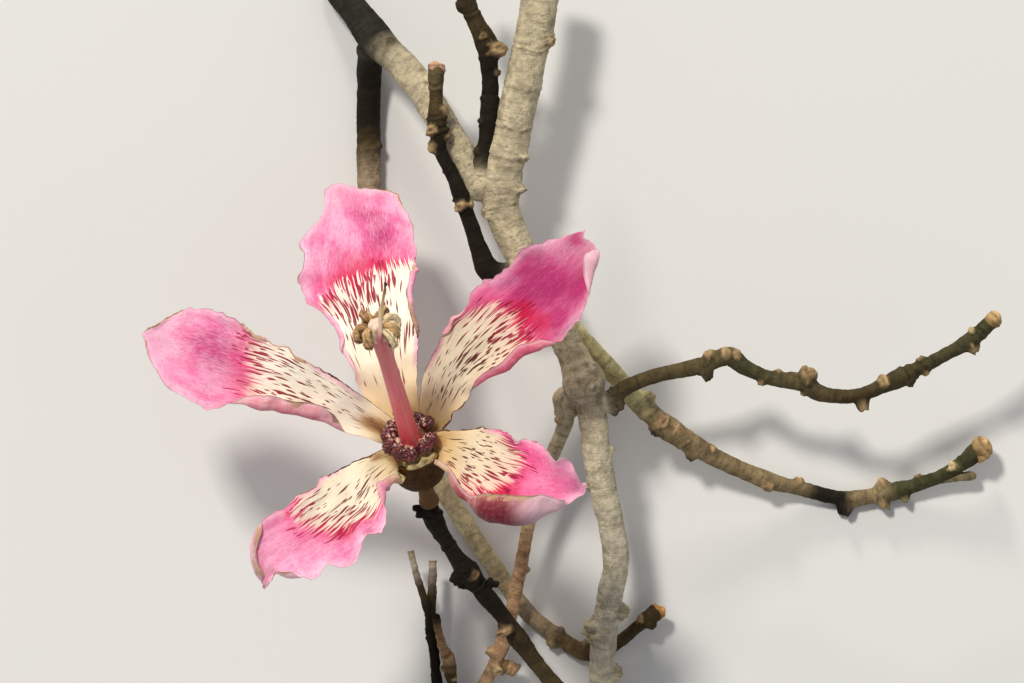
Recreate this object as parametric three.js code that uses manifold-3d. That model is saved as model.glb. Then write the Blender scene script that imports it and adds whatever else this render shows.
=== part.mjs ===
// A flowering branch of a silk floss tree, cut and lying on level ground, in millimetres.
// +X runs along the branch's longest reach, +Y towards the thick end of its main limb, +Z up.
// The origin is on the ground, under the middle of the branch.
import * as THREE from 'three';
import { mergeVertices } from 'three/addons/utils/BufferGeometryUtils.js';
import Module from 'manifold-3d';

const wasm = await Module();
wasm.setup();

// Driving dimensions
const seatGap = 0.3;
const petalThickness = 1.0;
const petalRows = 20;
const petalColumns = 8;
const swellReach = 4.5;
const rootFlare = 0.3;
const rootFlareReach = 6;
const barkUnevenness = 0.035;

// The flower stands on its axis at the floor between its petals
const flowerBase = new THREE.Vector3(-46.1, -25.6, 66);
const flowerAxis = new THREE.Vector3(-0.18, 0.61, 0.77).normalize();
const columnLength = 52.5;
const columnRadius = [3.3, 2.5];
const calyxRadius = 8.3;
const calyxDepth = 14.7;
const calyxLobe = 3.6;
const calyxLobeAzimuth = -71;
const pedicelRadius = 2.5;
const pedicelLength = 11.4;
const antherCount = 5;
const antherHubHeight = 4;
const styleRadius = [1.1, 0.8];
const stigmaRadius = 1.4;
const coronaRadius = 6.4;
const coronaHeight = 5;
const coronaLobeRadius = 2.0;
const coronaLobeTurn = 12.5;
const staminodeAzimuths = [41, -44, -116, 175, 112];

// Woody limbs. A route runs from root to tip. Girth gives the radius at shares of the length, and swells
// give extra radius there. A knob is [share, turn about the limb in degrees, radius, height]: turn 0 is
// the left of the way the route runs, 90 is up and 180 is the right, and height is the radius if left out.
const limbs = {
  main_limb: {
    route: [[-8.2, 114.3, 34], [-9.4, 104, 34], [-12.2, 89.5, 33.5], [-17.4, 66.5, 32],
      [-20.8, 49, 30], [-19.3, 40.5, 30], [-10.5, 22.5, 31], [-1.5, 5, 32], [5, -12, 32],
      [8, -32, 30.5], [11.4, -48, 27.5], [13, -58.5, 25], [10.8, -71, 21.5], [8.9, -88, 14.4],
      [9.3, -109, 3.3]],
    girth: [[0, 5.5], [0.24, 5.4], [0.34, 4.8], [0.5, 4.4], [0.65, 4.0], [0.8, 3.75], [1, 3.7]],
    swells: [[0.24, 0.4], [0.275, 1.1], [0.54, 2.0], [0.73, 0.3], [0.83, 0.3]],
    knobs: [[0.09, 10, 2.2], [0.24, 15, 2.4], [0.28, 20, 2.2], [0.5, 60, 2.2], [0.62, 5, 1.8],
      [0.67, 175, 2.0], [0.83, 10, 2.6], [0.85, 185, 2.2], [0.91, 0, 2.4]],
    sides: 12,
    step: 5.6,
    colour: 0xb3a58e,
  },
  left_fork: {
    parents: ['main_limb'],
    route: [[-20.5, 44.5, 30], [-29, 53.5, 30], [-33.3, 61.4, 29.5], [-39, 71, 27],
      [-43.7, 78.5, 24], [-49.8, 86, 20.5], [-56.2, 91.8, 16], [-60.8, 98.2, 12.2],
      [-65, 104, 8.7], [-70.8, 113, 3.9]],
    girth: [[0, 4.4], [0.3, 4.3], [1, 4.5]],
    swells: [[0.72, 0.7]],
    knobs: [[0.35, 200, 1.8], [0.6, 160, 2.0]],
    sides: 10,
    step: 6,
    colour: 0xa89a85,
  },
  hanging_twig: {
    parents: ['left_fork'],
    route: [[-57.5, 93.5, 15.5], [-59, 85, 9.5], [-59.3, 74, 5.5], [-59.2, 52, 4.2],
      [-58.3, 31.5, 3.8], [-55.4, 8, 3.4], [-49.3, -15, 3.3], [-41.8, -31, 3.2], [-27, -54.3, 3.1],
      [-12.5, -74.6, 2.8], [-6.1, -79.8, 2.7], [-1, -83.4, 2.7]],
    girth: [[0, 3.6], [0.6, 3.0], [0.85, 2.5], [1, 2.2]],
    swells: [[0.3, 0.4], [0.62, 0.4], [0.84, 0.3]],
    knobs: [[0.2, 15, 1.6], [0.44, 170, 1.6], [0.72, 10, 1.5], [0.97, 190, 1.7]],
    sides: 8,
    step: 7,
    colour: 0x6e5f49,
  },
  hanging_twig_tip: {
    follows: 'hanging_twig',
    route: [[-0.6, -83.7, 2.7], [2.4, -85.4, 2.8], [6.5, -86, 3.2], [10.5, -84.9, 4],
      [14.5, -82.4, 5], [18.9, -78.7, 6.2], [24.6, -74.2, 7.8]],
    girth: [[0, 2.2], [0.45, 1.9], [0.85, 1.6], [1, 1.9]],
    swells: [[0.2, 0.5], [0.97, 0.7]],
    knobs: [[0.24, 0, 1.4], [0.93, 10, 1.5], [0.99, 150, 1.5]],
    sides: 8,
    step: 4.5,
    colour: 0x77654c,
  },
  upright_twig: {
    parents: ['main_limb', 'left_fork'],
    route: [[-23.5, 48.5, 31], [-26.4, 54.5, 32], [-24.6, 65, 32.5], [-23.8, 75, 32.5],
      [-24, 85, 33], [-24.7, 91.5, 33], [-28, 98.2, 33.5], [-30.4, 104, 34], [-30.8, 113, 34]],
    girth: [[0, 2.4], [1, 2.5]],
    swells: [[0.36, 0.4], [0.66, 0.8], [0.84, 0.3]],
    knobs: [[0.4, 170, 1.5], [0.67, 180, 2.5, 3], [0.85, 0, 1.6]],
    sides: 8,
    step: 6,
    colour: 0x5c4d3b,
  },
  short_twig: {
    parents: ['main_limb'],
    route: [[-12.5, 27, 32], [-19.4, 25, 33.5], [-24, 25.6, 34.5], [-26.8, 31.5, 35.5],
      [-29.4, 39, 36.3], [-31.8, 46, 37], [-34.7, 53.3, 37], [-38.2, 60.5, 37], [-39.2, 68, 37],
      [-39.5, 76, 36.5], [-39.5, 84, 36]],
    girth: [[0, 2.6], [0.3, 2.4], [0.5, 2.0], [1, 1.8]],
    swells: [[0.17, 0.9], [0.49, 0.4], [0.79, 1.0], [0.99, 0.6]],
    knobs: [[0.18, 200, 1.8], [0.49, 0, 1.9, 2.6], [0.76, 10, 2.0], [0.8, 175, 1.9],
      [0.82, 5, 1.8], [0.96, 20, 1.6], [0.985, 165, 1.6]],
    sides: 8,
    step: 5.2,
    colour: 0x574838,
  },
  right_upper_twig: {
    parents: ['main_limb'],
    route: [[5.5, -13, 32.5], [11, -12, 33], [15.4, -8.7, 33.5], [21.2, -6, 34], [27, -4.4, 34.5],
      [38.6, -1.8, 35.5], [45.8, 0.6, 36], [50.2, -2.4, 36.3], [58.5, -5.8, 36.6], [67.5, -7, 37],
      [72, -10, 37], [83, -10.8, 37.2], [91, -7.6, 37.3], [102, -2.3, 37.5], [116.8, 6, 38],
      [122.4, 11.1, 38]],
    girth: [[0, 2.6], [0.15, 2.1], [0.8, 2.0], [1, 1.6]],
    swells: [[0.25, 0.4], [0.34, 0.8], [0.5, 0.4], [0.54, 0.5], [0.75, 0.8], [0.93, 0.6],
      [0.99, 0.6]],
    knobs: [[0.225, 180, 2.2], [0.33, 30, 2.2], [0.46, 175, 1.5], [0.545, 20, 2.3, 3],
      [0.66, 180, 2.1, 3], [0.735, 70, 2.2], [0.765, 180, 1.7], [0.93, 60, 2.1], [0.94, 180, 2],
      [0.99, 60, 2.0]],
    sides: 8,
    step: 5.2,
    colour: 0x73644d,
  },
  right_lower_twig: {
    parents: ['main_limb'],
    route: [[-1, 9.7, 27.3], [5.8, 2.5, 26], [13, -5.3, 24], [20.3, -13.4, 21], [27.8, -20.1, 17.5],
      [41.8, -28.8, 12], [58, -35.8, 7], [66.1, -37.8, 4.6], [80, -41, 2.4], [87, -40.3, 2.6],
      [100.9, -36.9, 4.4], [108.8, -34, 6.3], [114.8, -30, 7.8], [119.5, -26.2, 9]],
    girth: [[0, 2.9], [0.4, 2.7], [0.55, 2.1], [1, 1.9]],
    swells: [[0.22, 0.5], [0.3, 0.8], [0.36, 0.4], [0.53, 0.5], [0.72, 0.4], [0.8, 0.6],
      [0.9, 0.3], [0.985, 0.9]],
    knobs: [[0.22, 10, 2.4], [0.36, 180, 1.9], [0.53, 180, 1.6], [0.61, 0, 1.6],
      [0.73, 180, 2.2, 2.8], [0.81, 20, 2.0], [0.815, 180, 1.9, 2.4], [0.88, 0, 1.6],
      [0.91, 185, 1.7, 6], [0.94, 40, 1.9], [0.985, 5, 2.2], [0.985, 170, 1.9]],
    sides: 8,
    step: 5.6,
    colour: 0x6a5b45,
  },
  brown_twig: {
    parents: ['main_limb'],
    route: [[4, -11.4, 30], [-1.4, -12.6, 28.6], [-2, -19, 27], [-5, -26.5, 25], [-9.8, -38, 21.7],
      [-12.8, -49.7, 18.5], [-15.5, -64, 14.8], [-19.6, -82, 9.8], [-24.4, -93.2, 6.4],
      [-30, -101, 4.2], [-42.6, -114, 1.9]],
    girth: [[0, 2.3], [0.3, 1.9], [1, 1.9]],
    swells: [[0.06, 0.9], [0.32, 0.3], [0.5, 0.3], [0.67, 0.4], [0.74, 0.3]],
    knobs: [[0.06, 20, 1.6], [0.34, 185, 1.3], [0.5, 0, 1.4], [0.69, 185, 2.0],
      [0.75, 0, 2.2, 7], [0.76, 25, 2.3, 2.8]],
    sides: 8,
    step: 6,
    colour: 0x8f7554,
  },
  flower_twig: {
    parents: ['main_limb'],
    route: [[8.8, -107, 6], [-0.5, -99.5, 11], [-6.2, -94, 14.5], [-16, -81, 21.5],
      [-19.2, -76.4, 24], [-25, -69, 28.8], [-30.2, -62.4, 33], [-36, -54, 38],
      [-39.6, -47.8, 41.8], [-41.6, -42.2, 45.5]],
    girth: [[0, 2.4], [1, 2.2]],
    swells: [[0.42, 0.6], [0.6, 0.5], [0.71, 1.4], [0.94, 0.8]],
    knobs: [[0.46, 0, 2.4], [0.615, 180, 2.0, 4], [0.7, 10, 2.2, 3], [0.72, 200, 1.8],
      [0.95, 0, 2.2, 3.4]],
    sides: 8,
    step: 5.2,
    colour: 0x33271d,
  },
  dry_twig_b: {
    parents: ['brown_twig'],
    route: [[-37.3, -108.5, 3], [-39.4, -94, 6.5], [-40.3, -84.5, 8.5], [-41.2, -75.8, 10],
      [-40.6, -67, 11.3], [-40.6, -59, 12]],
    girth: [[0, 1.6], [0.5, 1.4], [1, 1.2]],
    swells: [[0.6, 0.4]],
    knobs: [[0.45, 10, 1.0], [0.8, 180, 0.9]],
    sides: 6,
    step: 6,
    colour: 0x564131,
  },
  dry_twig_a: {
    parents: ['dry_twig_b'],
    route: [[-41.2, -76.5, 10], [-42, -73, 11], [-44.1, -67, 12], [-45.8, -61.3, 12.8],
      [-47, -56.1, 13.2]],
    girth: [[0, 1.1], [1, 1.0]],
    swells: [[0.95, 0.2]],
    knobs: [[0.6, 10, 0.8]],
    sides: 6,
    step: 5,
    colour: 0x4f3b2c,
  },
  dry_twig_c: {
    parents: ['brown_twig'],
    route: [[-32.3, -103.4, 4.2], [-35, -94, 8.5], [-35.8, -88, 11], [-37.4, -84.7, 12.6],
      [-39, -79, 14.8], [-39.4, -75.2, 16]],
    girth: [[0, 1.4], [1, 1.1]],
    swells: [[0.52, 0.7]],
    knobs: [[0.53, 170, 1.3]],
    sides: 6,
    step: 6,
    colour: 0x523d2d,
  },
};

// Petals. A station is [x, y, z, reach to the left of the spine, reach to its right], seen from above
// and looking from the claw to the tip. Azimuth is the claw's place round the flower's axis.
const petals = {
  petal_left: {
    azimuth: 166,
    stations: [[-52.2, -22.7, 65, 2.9, 2.9], [-62.1, -16.9, 67.5, 5.4, 5.4],
      [-73.7, -10.2, 72.5, 7, 7], [-85.8, -5.3, 76, 9.3, 8.7], [-98.3, -2.7, 75, 11.6, 11.8],
      [-109, 0.8, 72, 12, 13.9], [-117.2, 3.4, 68, 8.4, 10.6], [-123.3, 6.4, 64, 1.9, 1.9]],
    lift: [2.5, 0.5],
    seed: 3,
  },
  petal_top: {
    azimuth: 94,
    stations: [[-47.6, -21.3, 62.5, 2.9, 2.9], [-51.3, -12.6, 63, 5.6, 6.4],
      [-54.5, -3.3, 64, 8.2, 9.4], [-56.8, 6.9, 62, 9.8, 11.6], [-58.5, 14, 59, 12.4, 12.4],
      [-59.9, 21, 55.5, 17.6, 14.4], [-60.9, 28, 51, 16.6, 15.8], [-61.5, 38.8, 44, 13.2, 14.4],
      [-62.2, 50, 37, 7, 6.6]],
    lift: [1, 2],
    seed: 11,
  },
  petal_upper_right: {
    azimuth: 35,
    stations: [[-41.2, -20.7, 64, 2.9, 2.9], [-38, -12.6, 65.5, 6.2, 6],
      [-34.2, -3.3, 70, 6.4, 7.4], [-26.1, 6, 74, 9, 11], [-16.2, 13.5, 74, 12, 13.2],
      [-7.5, 19.9, 72, 12.6, 11.8], [-0.6, 25.7, 69, 10.4, 7.2], [4.4, 31.4, 65, 4.6, 2]],
    lift: [0.5, 2.5],
    seed: 17,
  },
  petal_right: {
    azimuth: -28,
    stations: [[-40.6, -25.9, 67, 3, 3], [-33.9, -27.1, 72.5, 6.8, 6.2],
      [-26.1, -30.2, 85, 10.7, 11.4], [-17.4, -33.4, 94, 11, 13.4], [-9.3, -35.8, 100, 9.7, 11.6],
      [-2.6, -36.9, 102, 7.2, 5.6], [3.6, -38, 99, 1.6, 1.4]],
    lift: [1, 3],
    seed: 23,
  },
  petal_lower_left: {
    azimuth: -114,
    stations: [[-50.5, -29.1, 69, 3, 3], [-57.7, -33.1, 75, 5.4, 4.8],
      [-63.2, -40.7, 88, 11.2, 10], [-69.9, -46.8, 96, 12.2, 10.4], [-76.9, -52, 101, 10.2, 10.2],
      [-83.2, -55.5, 103, 8.4, 9.6], [-88, -59.4, 102, 5, 6], [-88.7, -65.2, 99, 1.6, 1.6]],
    lift: [3, 0.5],
    seed: 31,
  },
};

const colours = {
  petal: 0xe38fb5,
  column: 0xc9616b,
  corona: 0x5a1420,
  anthers: 0x8a7340,
  calyx: 0x4a3a20,
};

// Repeatable random numbers between 0 and 1
function seeded(seed) {
  let state = seed >>> 0;
  return () => {
    state = (state + 0x6d2b79f5) >>> 0;
    let mixed = Math.imul(state ^ (state >>> 15), state | 1);
    mixed ^= mixed + Math.imul(mixed ^ (mixed >>> 7), mixed | 61);
    return ((mixed ^ (mixed >>> 14)) >>> 0) / 4294967296;
  };
}

// Reads a list of [share, value] pairs as a line with corners at the pairs
function readLine(pairs, share) {
  const next = pairs.findIndex(([at]) => at >= share);
  if (next <= 0) return pairs[next === 0 ? 0 : pairs.length - 1][1];
  const [fromAt, fromValue] = pairs[next - 1];
  const [toAt, toValue] = pairs[next];
  return fromValue + ((toValue - fromValue) * (share - fromAt)) / (toAt - fromAt);
}

function smoothRoute(points) {
  const corners = points.map(([x, y, z]) => new THREE.Vector3(x, y, z));
  return new THREE.CatmullRomCurve3(corners, false, 'centripetal');
}

// Turns a closed three.js geometry into a solid that can be joined and cut
function solidOf(geometry) {
  const bare = geometry.clone();
  bare.deleteAttribute('normal');
  bare.deleteAttribute('uv');
  const merged = mergeVertices(bare, 1e-4);
  const vertProperties = Float32Array.from(merged.attributes.position.array);
  const triVerts = Uint32Array.from(merged.index.array);
  return new wasm.Manifold(new wasm.Mesh({ numProp: 3, vertProperties, triVerts }));
}

function geometryOf(solid) {
  const { vertProperties, triVerts } = solid.getMesh();
  const geometry = new THREE.BufferGeometry();
  geometry.setAttribute('position', new THREE.BufferAttribute(Float32Array.from(vertProperties), 3));
  geometry.setIndex(new THREE.BufferAttribute(Uint32Array.from(triVerts), 1));
  geometry.computeVertexNormals();
  return geometry;
}

// A cut can leave scraps beyond the cutter, so only the largest piece stays
function largestPiece(solid) {
  const pieces = solid.decompose();
  return pieces.reduce((best, piece) => (piece.volume() > best.volume() ? piece : best));
}

// Cuts a solid clear of its neighbours, which come grown by the gap
function cutClear(solid, neighbours) {
  return largestPiece(neighbours.reduce((rest, neighbour) => rest.subtract(neighbour), solid));
}

// The unit ways round a limb at one place: left of its run, up, and along it
function limbFrame(curve, share) {
  const along = curve.getTangentAt(share);
  const left = new THREE.Vector3(-along.y, along.x, 0).normalize();
  const up = new THREE.Vector3().crossVectors(along, left).negate();
  return { along, left, up };
}

function limbRadius(spec, length, share) {
  const swell = spec.swells.reduce((sum, [at, gain]) => {
    const away = ((share - at) * length) / swellReach;
    return sum + gain * Math.exp(-away * away);
  }, 0);
  const flare = spec.parents ? rootFlare * Math.exp(-(((share * length) / rootFlareReach) ** 2)) : 0;
  return readLine(spec.girth, share) * (1 + flare) + swell;
}

// A small blunt knob that stands out of the bark, such as a bud or a leaf scar
function knobSolid(curve, radius, [share, turn, size, stand = size], grow) {
  const { along, left, up } = limbFrame(curve, share);
  const angle = THREE.MathUtils.degToRad(turn);
  const out = left.clone().multiplyScalar(Math.cos(angle)).addScaledVector(up, Math.sin(angle));
  const profile = [[0, -0.9], [0.9, -0.6], [0.7, 0.5], [0, 0.85]];
  const points = profile.map(([r, h]) => new THREE.Vector2(r * (size + grow), h * (stand + grow)));
  const geometry = new THREE.LatheGeometry(points, 5);
  const placed = new THREE.Matrix4().makeBasis(along, out, new THREE.Vector3().crossVectors(along, out));
  geometry.applyMatrix4(placed);
  const centre = curve.getPointAt(share).addScaledVector(out, radius);
  geometry.translate(centre.x, centre.y, centre.z);
  return solidOf(geometry);
}

// One tapering limb with flat cut ends and its knobs fused on, its skin grown by some distance
function limbSolid(spec, grow = 0) {
  const curve = smoothRoute(spec.route);
  const length = curve.getLength();
  const steps = Math.round(length / spec.step);
  const frames = curve.computeFrenetFrames(steps, false);
  const random = seeded(Math.round(length * 100));
  const phases = [random(), random(), random()].map((value) => value * Math.PI * 2);
  const geometry = new THREE.CylinderGeometry(1, 1, 1, spec.sides, steps);
  const position = geometry.attributes.position;
  for (let index = 0; index < position.count; index += 1) {
    const ring = Math.round((0.5 - position.getY(index)) * steps);
    const share = ring / steps;
    const x = position.getX(index);
    const z = position.getZ(index);
    const turn = Math.atan2(x, z);
    const uneven = Math.sin(turn * 2 + phases[0] + share * 9) + Math.sin(turn * 3 + phases[1])
      + Math.sin(share * length * 0.35 + phases[2]);
    const radius = limbRadius(spec, length, share) * (1 + (barkUnevenness * uneven) / 2) + grow;
    const point = curve.getPointAt(share)
      .addScaledVector(frames.normals[ring], x * radius)
      .addScaledVector(frames.binormals[ring], z * radius);
    position.setXYZ(index, point.x, point.y, point.z);
  }
  return spec.knobs.reduce((solid, knob) => {
    const radius = limbRadius(spec, length, knob[0]);
    return solid.add(knobSolid(curve, radius, knob, grow));
  }, solidOf(geometry));
}

// A smooth slim run between two radii, with six sides
function plainTwig(route, [from, to], step) {
  return limbSolid({ route, girth: [[0, from], [1, to]], swells: [], knobs: [], sides: 6, step });
}

// A limb as it stands, cut clear of the limbs that carry it
function seatedLimb(name) {
  const spec = limbs[name];
  const carriers = [...(spec.parents ?? []), spec.follows].filter(Boolean);
  return cutClear(limbSolid(spec), carriers.map((carrier) => limbSolid(limbs[carrier], seatGap)));
}

// The flower's own axes: two ways across it, and its axis
const flowerAcross = new THREE.Vector3().crossVectors(flowerAxis, new THREE.Vector3(0, 0, 1)).normalize();
const flowerBack = new THREE.Vector3().crossVectors(flowerAxis, flowerAcross);

// A place in the flower, from its distance and angle round the axis and its height along it
function inFlower(radius, degrees, height) {
  const angle = THREE.MathUtils.degToRad(degrees);
  return flowerBase.clone()
    .addScaledVector(flowerAcross, radius * Math.cos(angle))
    .addScaledVector(flowerBack, radius * Math.sin(angle))
    .addScaledVector(flowerAxis, height);
}

// Moves a geometry that stands on +Y at the origin onto the flower's axis
function ontoFlower(geometry, height) {
  const upright = flowerBack.clone().negate();
  geometry.applyMatrix4(new THREE.Matrix4().makeBasis(flowerAcross, flowerAxis, upright));
  const place = inFlower(0, 0, height);
  return geometry.translate(place.x, place.y, place.z);
}

// A curve through single numbers, read by share
function numberCurve(values) {
  const curve = new THREE.SplineCurve(values.map((value, index) => new THREE.Vector2(index, value)));
  return (share) => curve.getPoint(share).y;
}

// The petal's middle surface: share runs from claw to tip, across from -1 at its right to 1 at its left
function petalSurface(spec) {
  const foot = inFlower(5, spec.azimuth, -2);
  const stations = [[foot.x, foot.y, foot.z, 1.8, 1.8], ...spec.stations];
  const spine = new THREE.CatmullRomCurve3(stations.map(([x, y, z]) => new THREE.Vector3(x, y, z)));
  const leftReach = numberCurve(stations.map((station) => station[3]));
  const rightReach = numberCurve(stations.map((station) => station[4]));
  const random = seeded(spec.seed);
  const phases = [random(), random()].map((value) => value * Math.PI * 2);
  return (share, across, grow) => {
    const along = spine.getTangent(share);
    const side = new THREE.Vector3(-along.y, along.x, 0).normalize();
    const reach = (across > 0 ? leftReach(share) : rightReach(share)) + grow;
    const lift = across > 0 ? spec.lift[0] : spec.lift[1];
    const spread = Math.min(1, share * 2.5);
    const edge = Math.abs(across) ** 2.4;
    const wave = Math.sin(share * 19 + phases[across > 0 ? 0 : 1]) * 1.1;
    return spine.getPoint(share)
      .addScaledVector(side, across * Math.max(reach, 0.6))
      .add(new THREE.Vector3(0, 0, edge * spread * (lift + wave)));
  };
}

// A closed blade of even thickness round the petal's middle surface
function petalSolid(spec, grow = 0) {
  const surface = petalSurface(spec);
  const geometry = new THREE.BoxGeometry(2, 2, 1, petalRows, petalColumns, 1);
  const position = geometry.attributes.position;
  const nudge = 0.01;
  for (let index = 0; index < position.count; index += 1) {
    const share = (position.getX(index) + 1) / 2;
    const across = position.getY(index);
    const here = surface(share, across, grow);
    const ahead = surface(Math.min(share + nudge, 1), across, grow);
    const behind = surface(Math.max(share - nudge, 0), across, grow);
    const lefter = surface(share, Math.min(across + nudge, 1), grow);
    const righter = surface(share, Math.max(across - nudge, -1), grow);
    const out = ahead.sub(behind).cross(lefter.sub(righter)).normalize();
    const half = Math.sign(position.getZ(index)) * (petalThickness / 2 + grow);
    here.addScaledVector(out, half);
    position.setXYZ(index, here.x, here.y, here.z);
  }
  return solidOf(geometry);
}

// The cup under the petals, with its uneven rim and the short stalk that it stands on
function calyxSolid(grow = 0) {
  const wall = 1.1;
  const rim = -1.1 + grow;
  const floor = -3.2 + grow;
  const seatRadius = 3.4 + grow;
  const seatTop = -0.6 + grow;
  const stalkEnd = -calyxDepth - pedicelLength - grow;
  const stalkRadius = pedicelRadius + grow;
  const inner = calyxRadius - wall - grow;
  const outer = calyxRadius + grow;
  const profile = [[0, stalkEnd], [stalkRadius * 1.15, stalkEnd], [stalkRadius, stalkEnd + 3],
    [stalkRadius, -calyxDepth - 0.8], [outer * 0.6, -calyxDepth + 0.4], [outer * 0.87, -calyxDepth + 2.6],
    [outer, -calyxDepth + 6.5], [outer, rim], [inner, rim], [inner - 0.6, floor], [seatRadius, floor],
    [seatRadius - 0.4, seatTop], [0, seatTop]];
  const geometry = new THREE.LatheGeometry(profile.map(([r, h]) => new THREE.Vector2(r, h)), 18);
  const position = geometry.attributes.position;
  for (let index = 0; index < position.count; index += 1) {
    const x = position.getX(index);
    const z = position.getZ(index);
    const turn = THREE.MathUtils.radToDeg(Math.atan2(-z, x));
    const lobe = calyxLobe * Math.exp(-(((turn - calyxLobeAzimuth) / 20) ** 2));
    const wave = 0.5 * Math.sin(THREE.MathUtils.degToRad(turn * 5));
    const onRim = Math.abs(position.getY(index) - rim) < 0.01;
    if (onRim && Math.hypot(x, z) > seatRadius) position.setY(index, rim + lobe + wave);
  }
  return solidOf(ontoFlower(geometry, 0));
}

// The rose column in the middle of the flower
function columnSolid(grow = 0) {
  const [foot, tip] = columnRadius;
  const low = -0.3 - grow;
  const high = columnLength + grow;
  const profile = [[0, low], [foot * 1.06 + grow, low], [foot + grow, 5], [(foot + tip) / 2 + grow, 22],
    [tip + grow, 40], [tip * 0.96 + grow, high], [0, high]];
  const geometry = new THREE.LatheGeometry(profile.map(([r, h]) => new THREE.Vector2(r, h)), 12);
  return solidOf(ontoFlower(geometry, 0));
}

// Curled anthers fused round the tip of the column
function antherSolid() {
  const low = columnLength + seatGap;
  const hub = new THREE.CylinderGeometry(3, 2.6, antherHubHeight, 10);
  hub.translate(0, antherHubHeight / 2, 0);
  let solid = solidOf(ontoFlower(hub, low));
  for (let index = 0; index < antherCount; index += 1) {
    const anther = new THREE.SphereGeometry(1, 8, 6);
    anther.scale(2.5, 4.4, 2.0);
    anther.rotateZ(0.25);
    anther.translate(3.7, 1.4, 0);
    anther.rotateY((index / antherCount) * Math.PI * 2 + 0.4);
    solid = solid.add(solidOf(ontoFlower(anther, low)));
  }
  return solid;
}

// The thin style that bends out of the anthers, with its round stigma. Each bend is [across, back, rise].
function styleSolid() {
  const foot = columnLength + antherHubHeight + seatGap * 2;
  const bends = [[0, 0, 0], [0.4, 0, 8], [2, 0.6, 15], [4.4, 1, 21]];
  const route = bends.map(([across, back, rise]) => inFlower(0, 0, foot + rise)
    .addScaledVector(flowerAcross, across)
    .addScaledVector(flowerBack, back)
    .toArray());
  const tip = route[route.length - 1];
  const stigma = new THREE.IcosahedronGeometry(stigmaRadius, 1).translate(...tip);
  return plainTwig(route, styleRadius, 5).add(solidOf(stigma));
}

// A bilobed warty knob of the corona, on a short foot at the column
function staminodeSolid(degrees) {
  const foot = [[2.6, 2.6], [4.6, 3.4], [coronaRadius, coronaHeight]];
  const route = foot.map(([radius, height]) => inFlower(radius, degrees, height).toArray());
  const lobes = [[-coronaLobeTurn, 0.5], [coronaLobeTurn, -0.3]].map(([turn, rise]) => {
    const place = inFlower(coronaRadius, degrees + turn, coronaHeight + rise);
    return solidOf(new THREE.SphereGeometry(coronaLobeRadius, 8, 6).translate(...place.toArray()));
  });
  return lobes.reduce((solid, lobe) => solid.add(lobe), plainTwig(route, [1.4, 1.2], 2));
}

const group = new THREE.Group();

function place(name, solid, colour, roughness = 0.85) {
  const material = new THREE.MeshStandardMaterial({ color: colour, roughness, metalness: 0 });
  const mesh = new THREE.Mesh(geometryOf(solid), material);
  mesh.name = name;
  group.add(mesh);
}

const grownCalyx = calyxSolid(seatGap);
const grownColumn = columnSolid(seatGap);
const grownPetals = Object.values(petals).map((spec) => petalSolid(spec, seatGap));

for (const name of Object.keys(limbs)) {
  const neighbours = name === 'flower_twig' ? [grownCalyx] : [];
  place(name, cutClear(seatedLimb(name), neighbours), limbs[name].colour);
}

for (const [name, spec] of Object.entries(petals)) {
  place(name, cutClear(petalSolid(spec), [grownCalyx, grownColumn]), colours.petal, 0.7);
}

place('calyx', calyxSolid(), colours.calyx);
place('staminal_column', columnSolid(), colours.column, 0.6);
place('anther_head', cutClear(antherSolid(), [grownColumn]), colours.anthers);
place('style', styleSolid(), colours.column, 0.6);
staminodeAzimuths.forEach((degrees, index) => {
  const solid = cutClear(staminodeSolid(degrees), [grownColumn, ...grownPetals]);
  place(`staminode_${index + 1}`, solid, colours.corona, 0.6);
});

export default group;
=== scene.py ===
# A flowering branch of a silk floss tree, cut and lying on a pale floor, seen from straight above.
# Routes, sizes and reaches are in millimetres, as on the real branch, and the meshes are made in metres.
import math

import bpy
import numpy as np
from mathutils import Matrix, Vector, noise


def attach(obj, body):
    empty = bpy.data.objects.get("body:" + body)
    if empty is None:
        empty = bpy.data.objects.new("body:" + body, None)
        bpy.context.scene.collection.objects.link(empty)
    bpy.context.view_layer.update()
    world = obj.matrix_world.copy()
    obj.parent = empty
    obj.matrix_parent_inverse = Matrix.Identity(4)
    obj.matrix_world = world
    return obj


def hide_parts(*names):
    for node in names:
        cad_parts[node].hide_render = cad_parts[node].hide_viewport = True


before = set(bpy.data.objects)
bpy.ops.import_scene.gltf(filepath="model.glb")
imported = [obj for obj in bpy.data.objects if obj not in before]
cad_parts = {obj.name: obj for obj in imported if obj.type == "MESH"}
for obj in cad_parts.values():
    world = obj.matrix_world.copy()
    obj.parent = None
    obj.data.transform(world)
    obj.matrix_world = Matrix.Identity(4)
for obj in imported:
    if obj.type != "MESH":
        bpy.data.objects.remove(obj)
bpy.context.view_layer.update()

MM = 0.001

# Camera: straight above the middle of the picture, so far away that it hardly foreshortens. The
# picture's width is measured at the flower's height.
PICTURE_MIDDLE = (-17.4, 4.99)
PICTURE_WIDTH = 296.96
CAMERA_HEIGHT = 7000
FLOWER_HEIGHT = 60
SENSOR = 36

# Floor, farthest view and lights, in metres. Each light has a place, a size, a power and a tint.
FLOOR_REACH = 9.0
VIEW_REACH = 50
LIGHTS = dict(key=((-1.75, 2.7, 5.0), 0.8, 250, (1.0, 0.965, 0.9)),
              rim=((-1.4, 5.2, 2.0), 0.8, 130, (1.0, 0.95, 0.86)),
              fill=((2.6, -1.4, 3.4), 3.0, 12, (0.93, 0.96, 1.0)))
LIGHTS_AIM = (-0.02, 0, 0.04)
SKY_TINT = (0.92, 0.94, 1.0)
SKY_STRENGTH = 0.35

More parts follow.
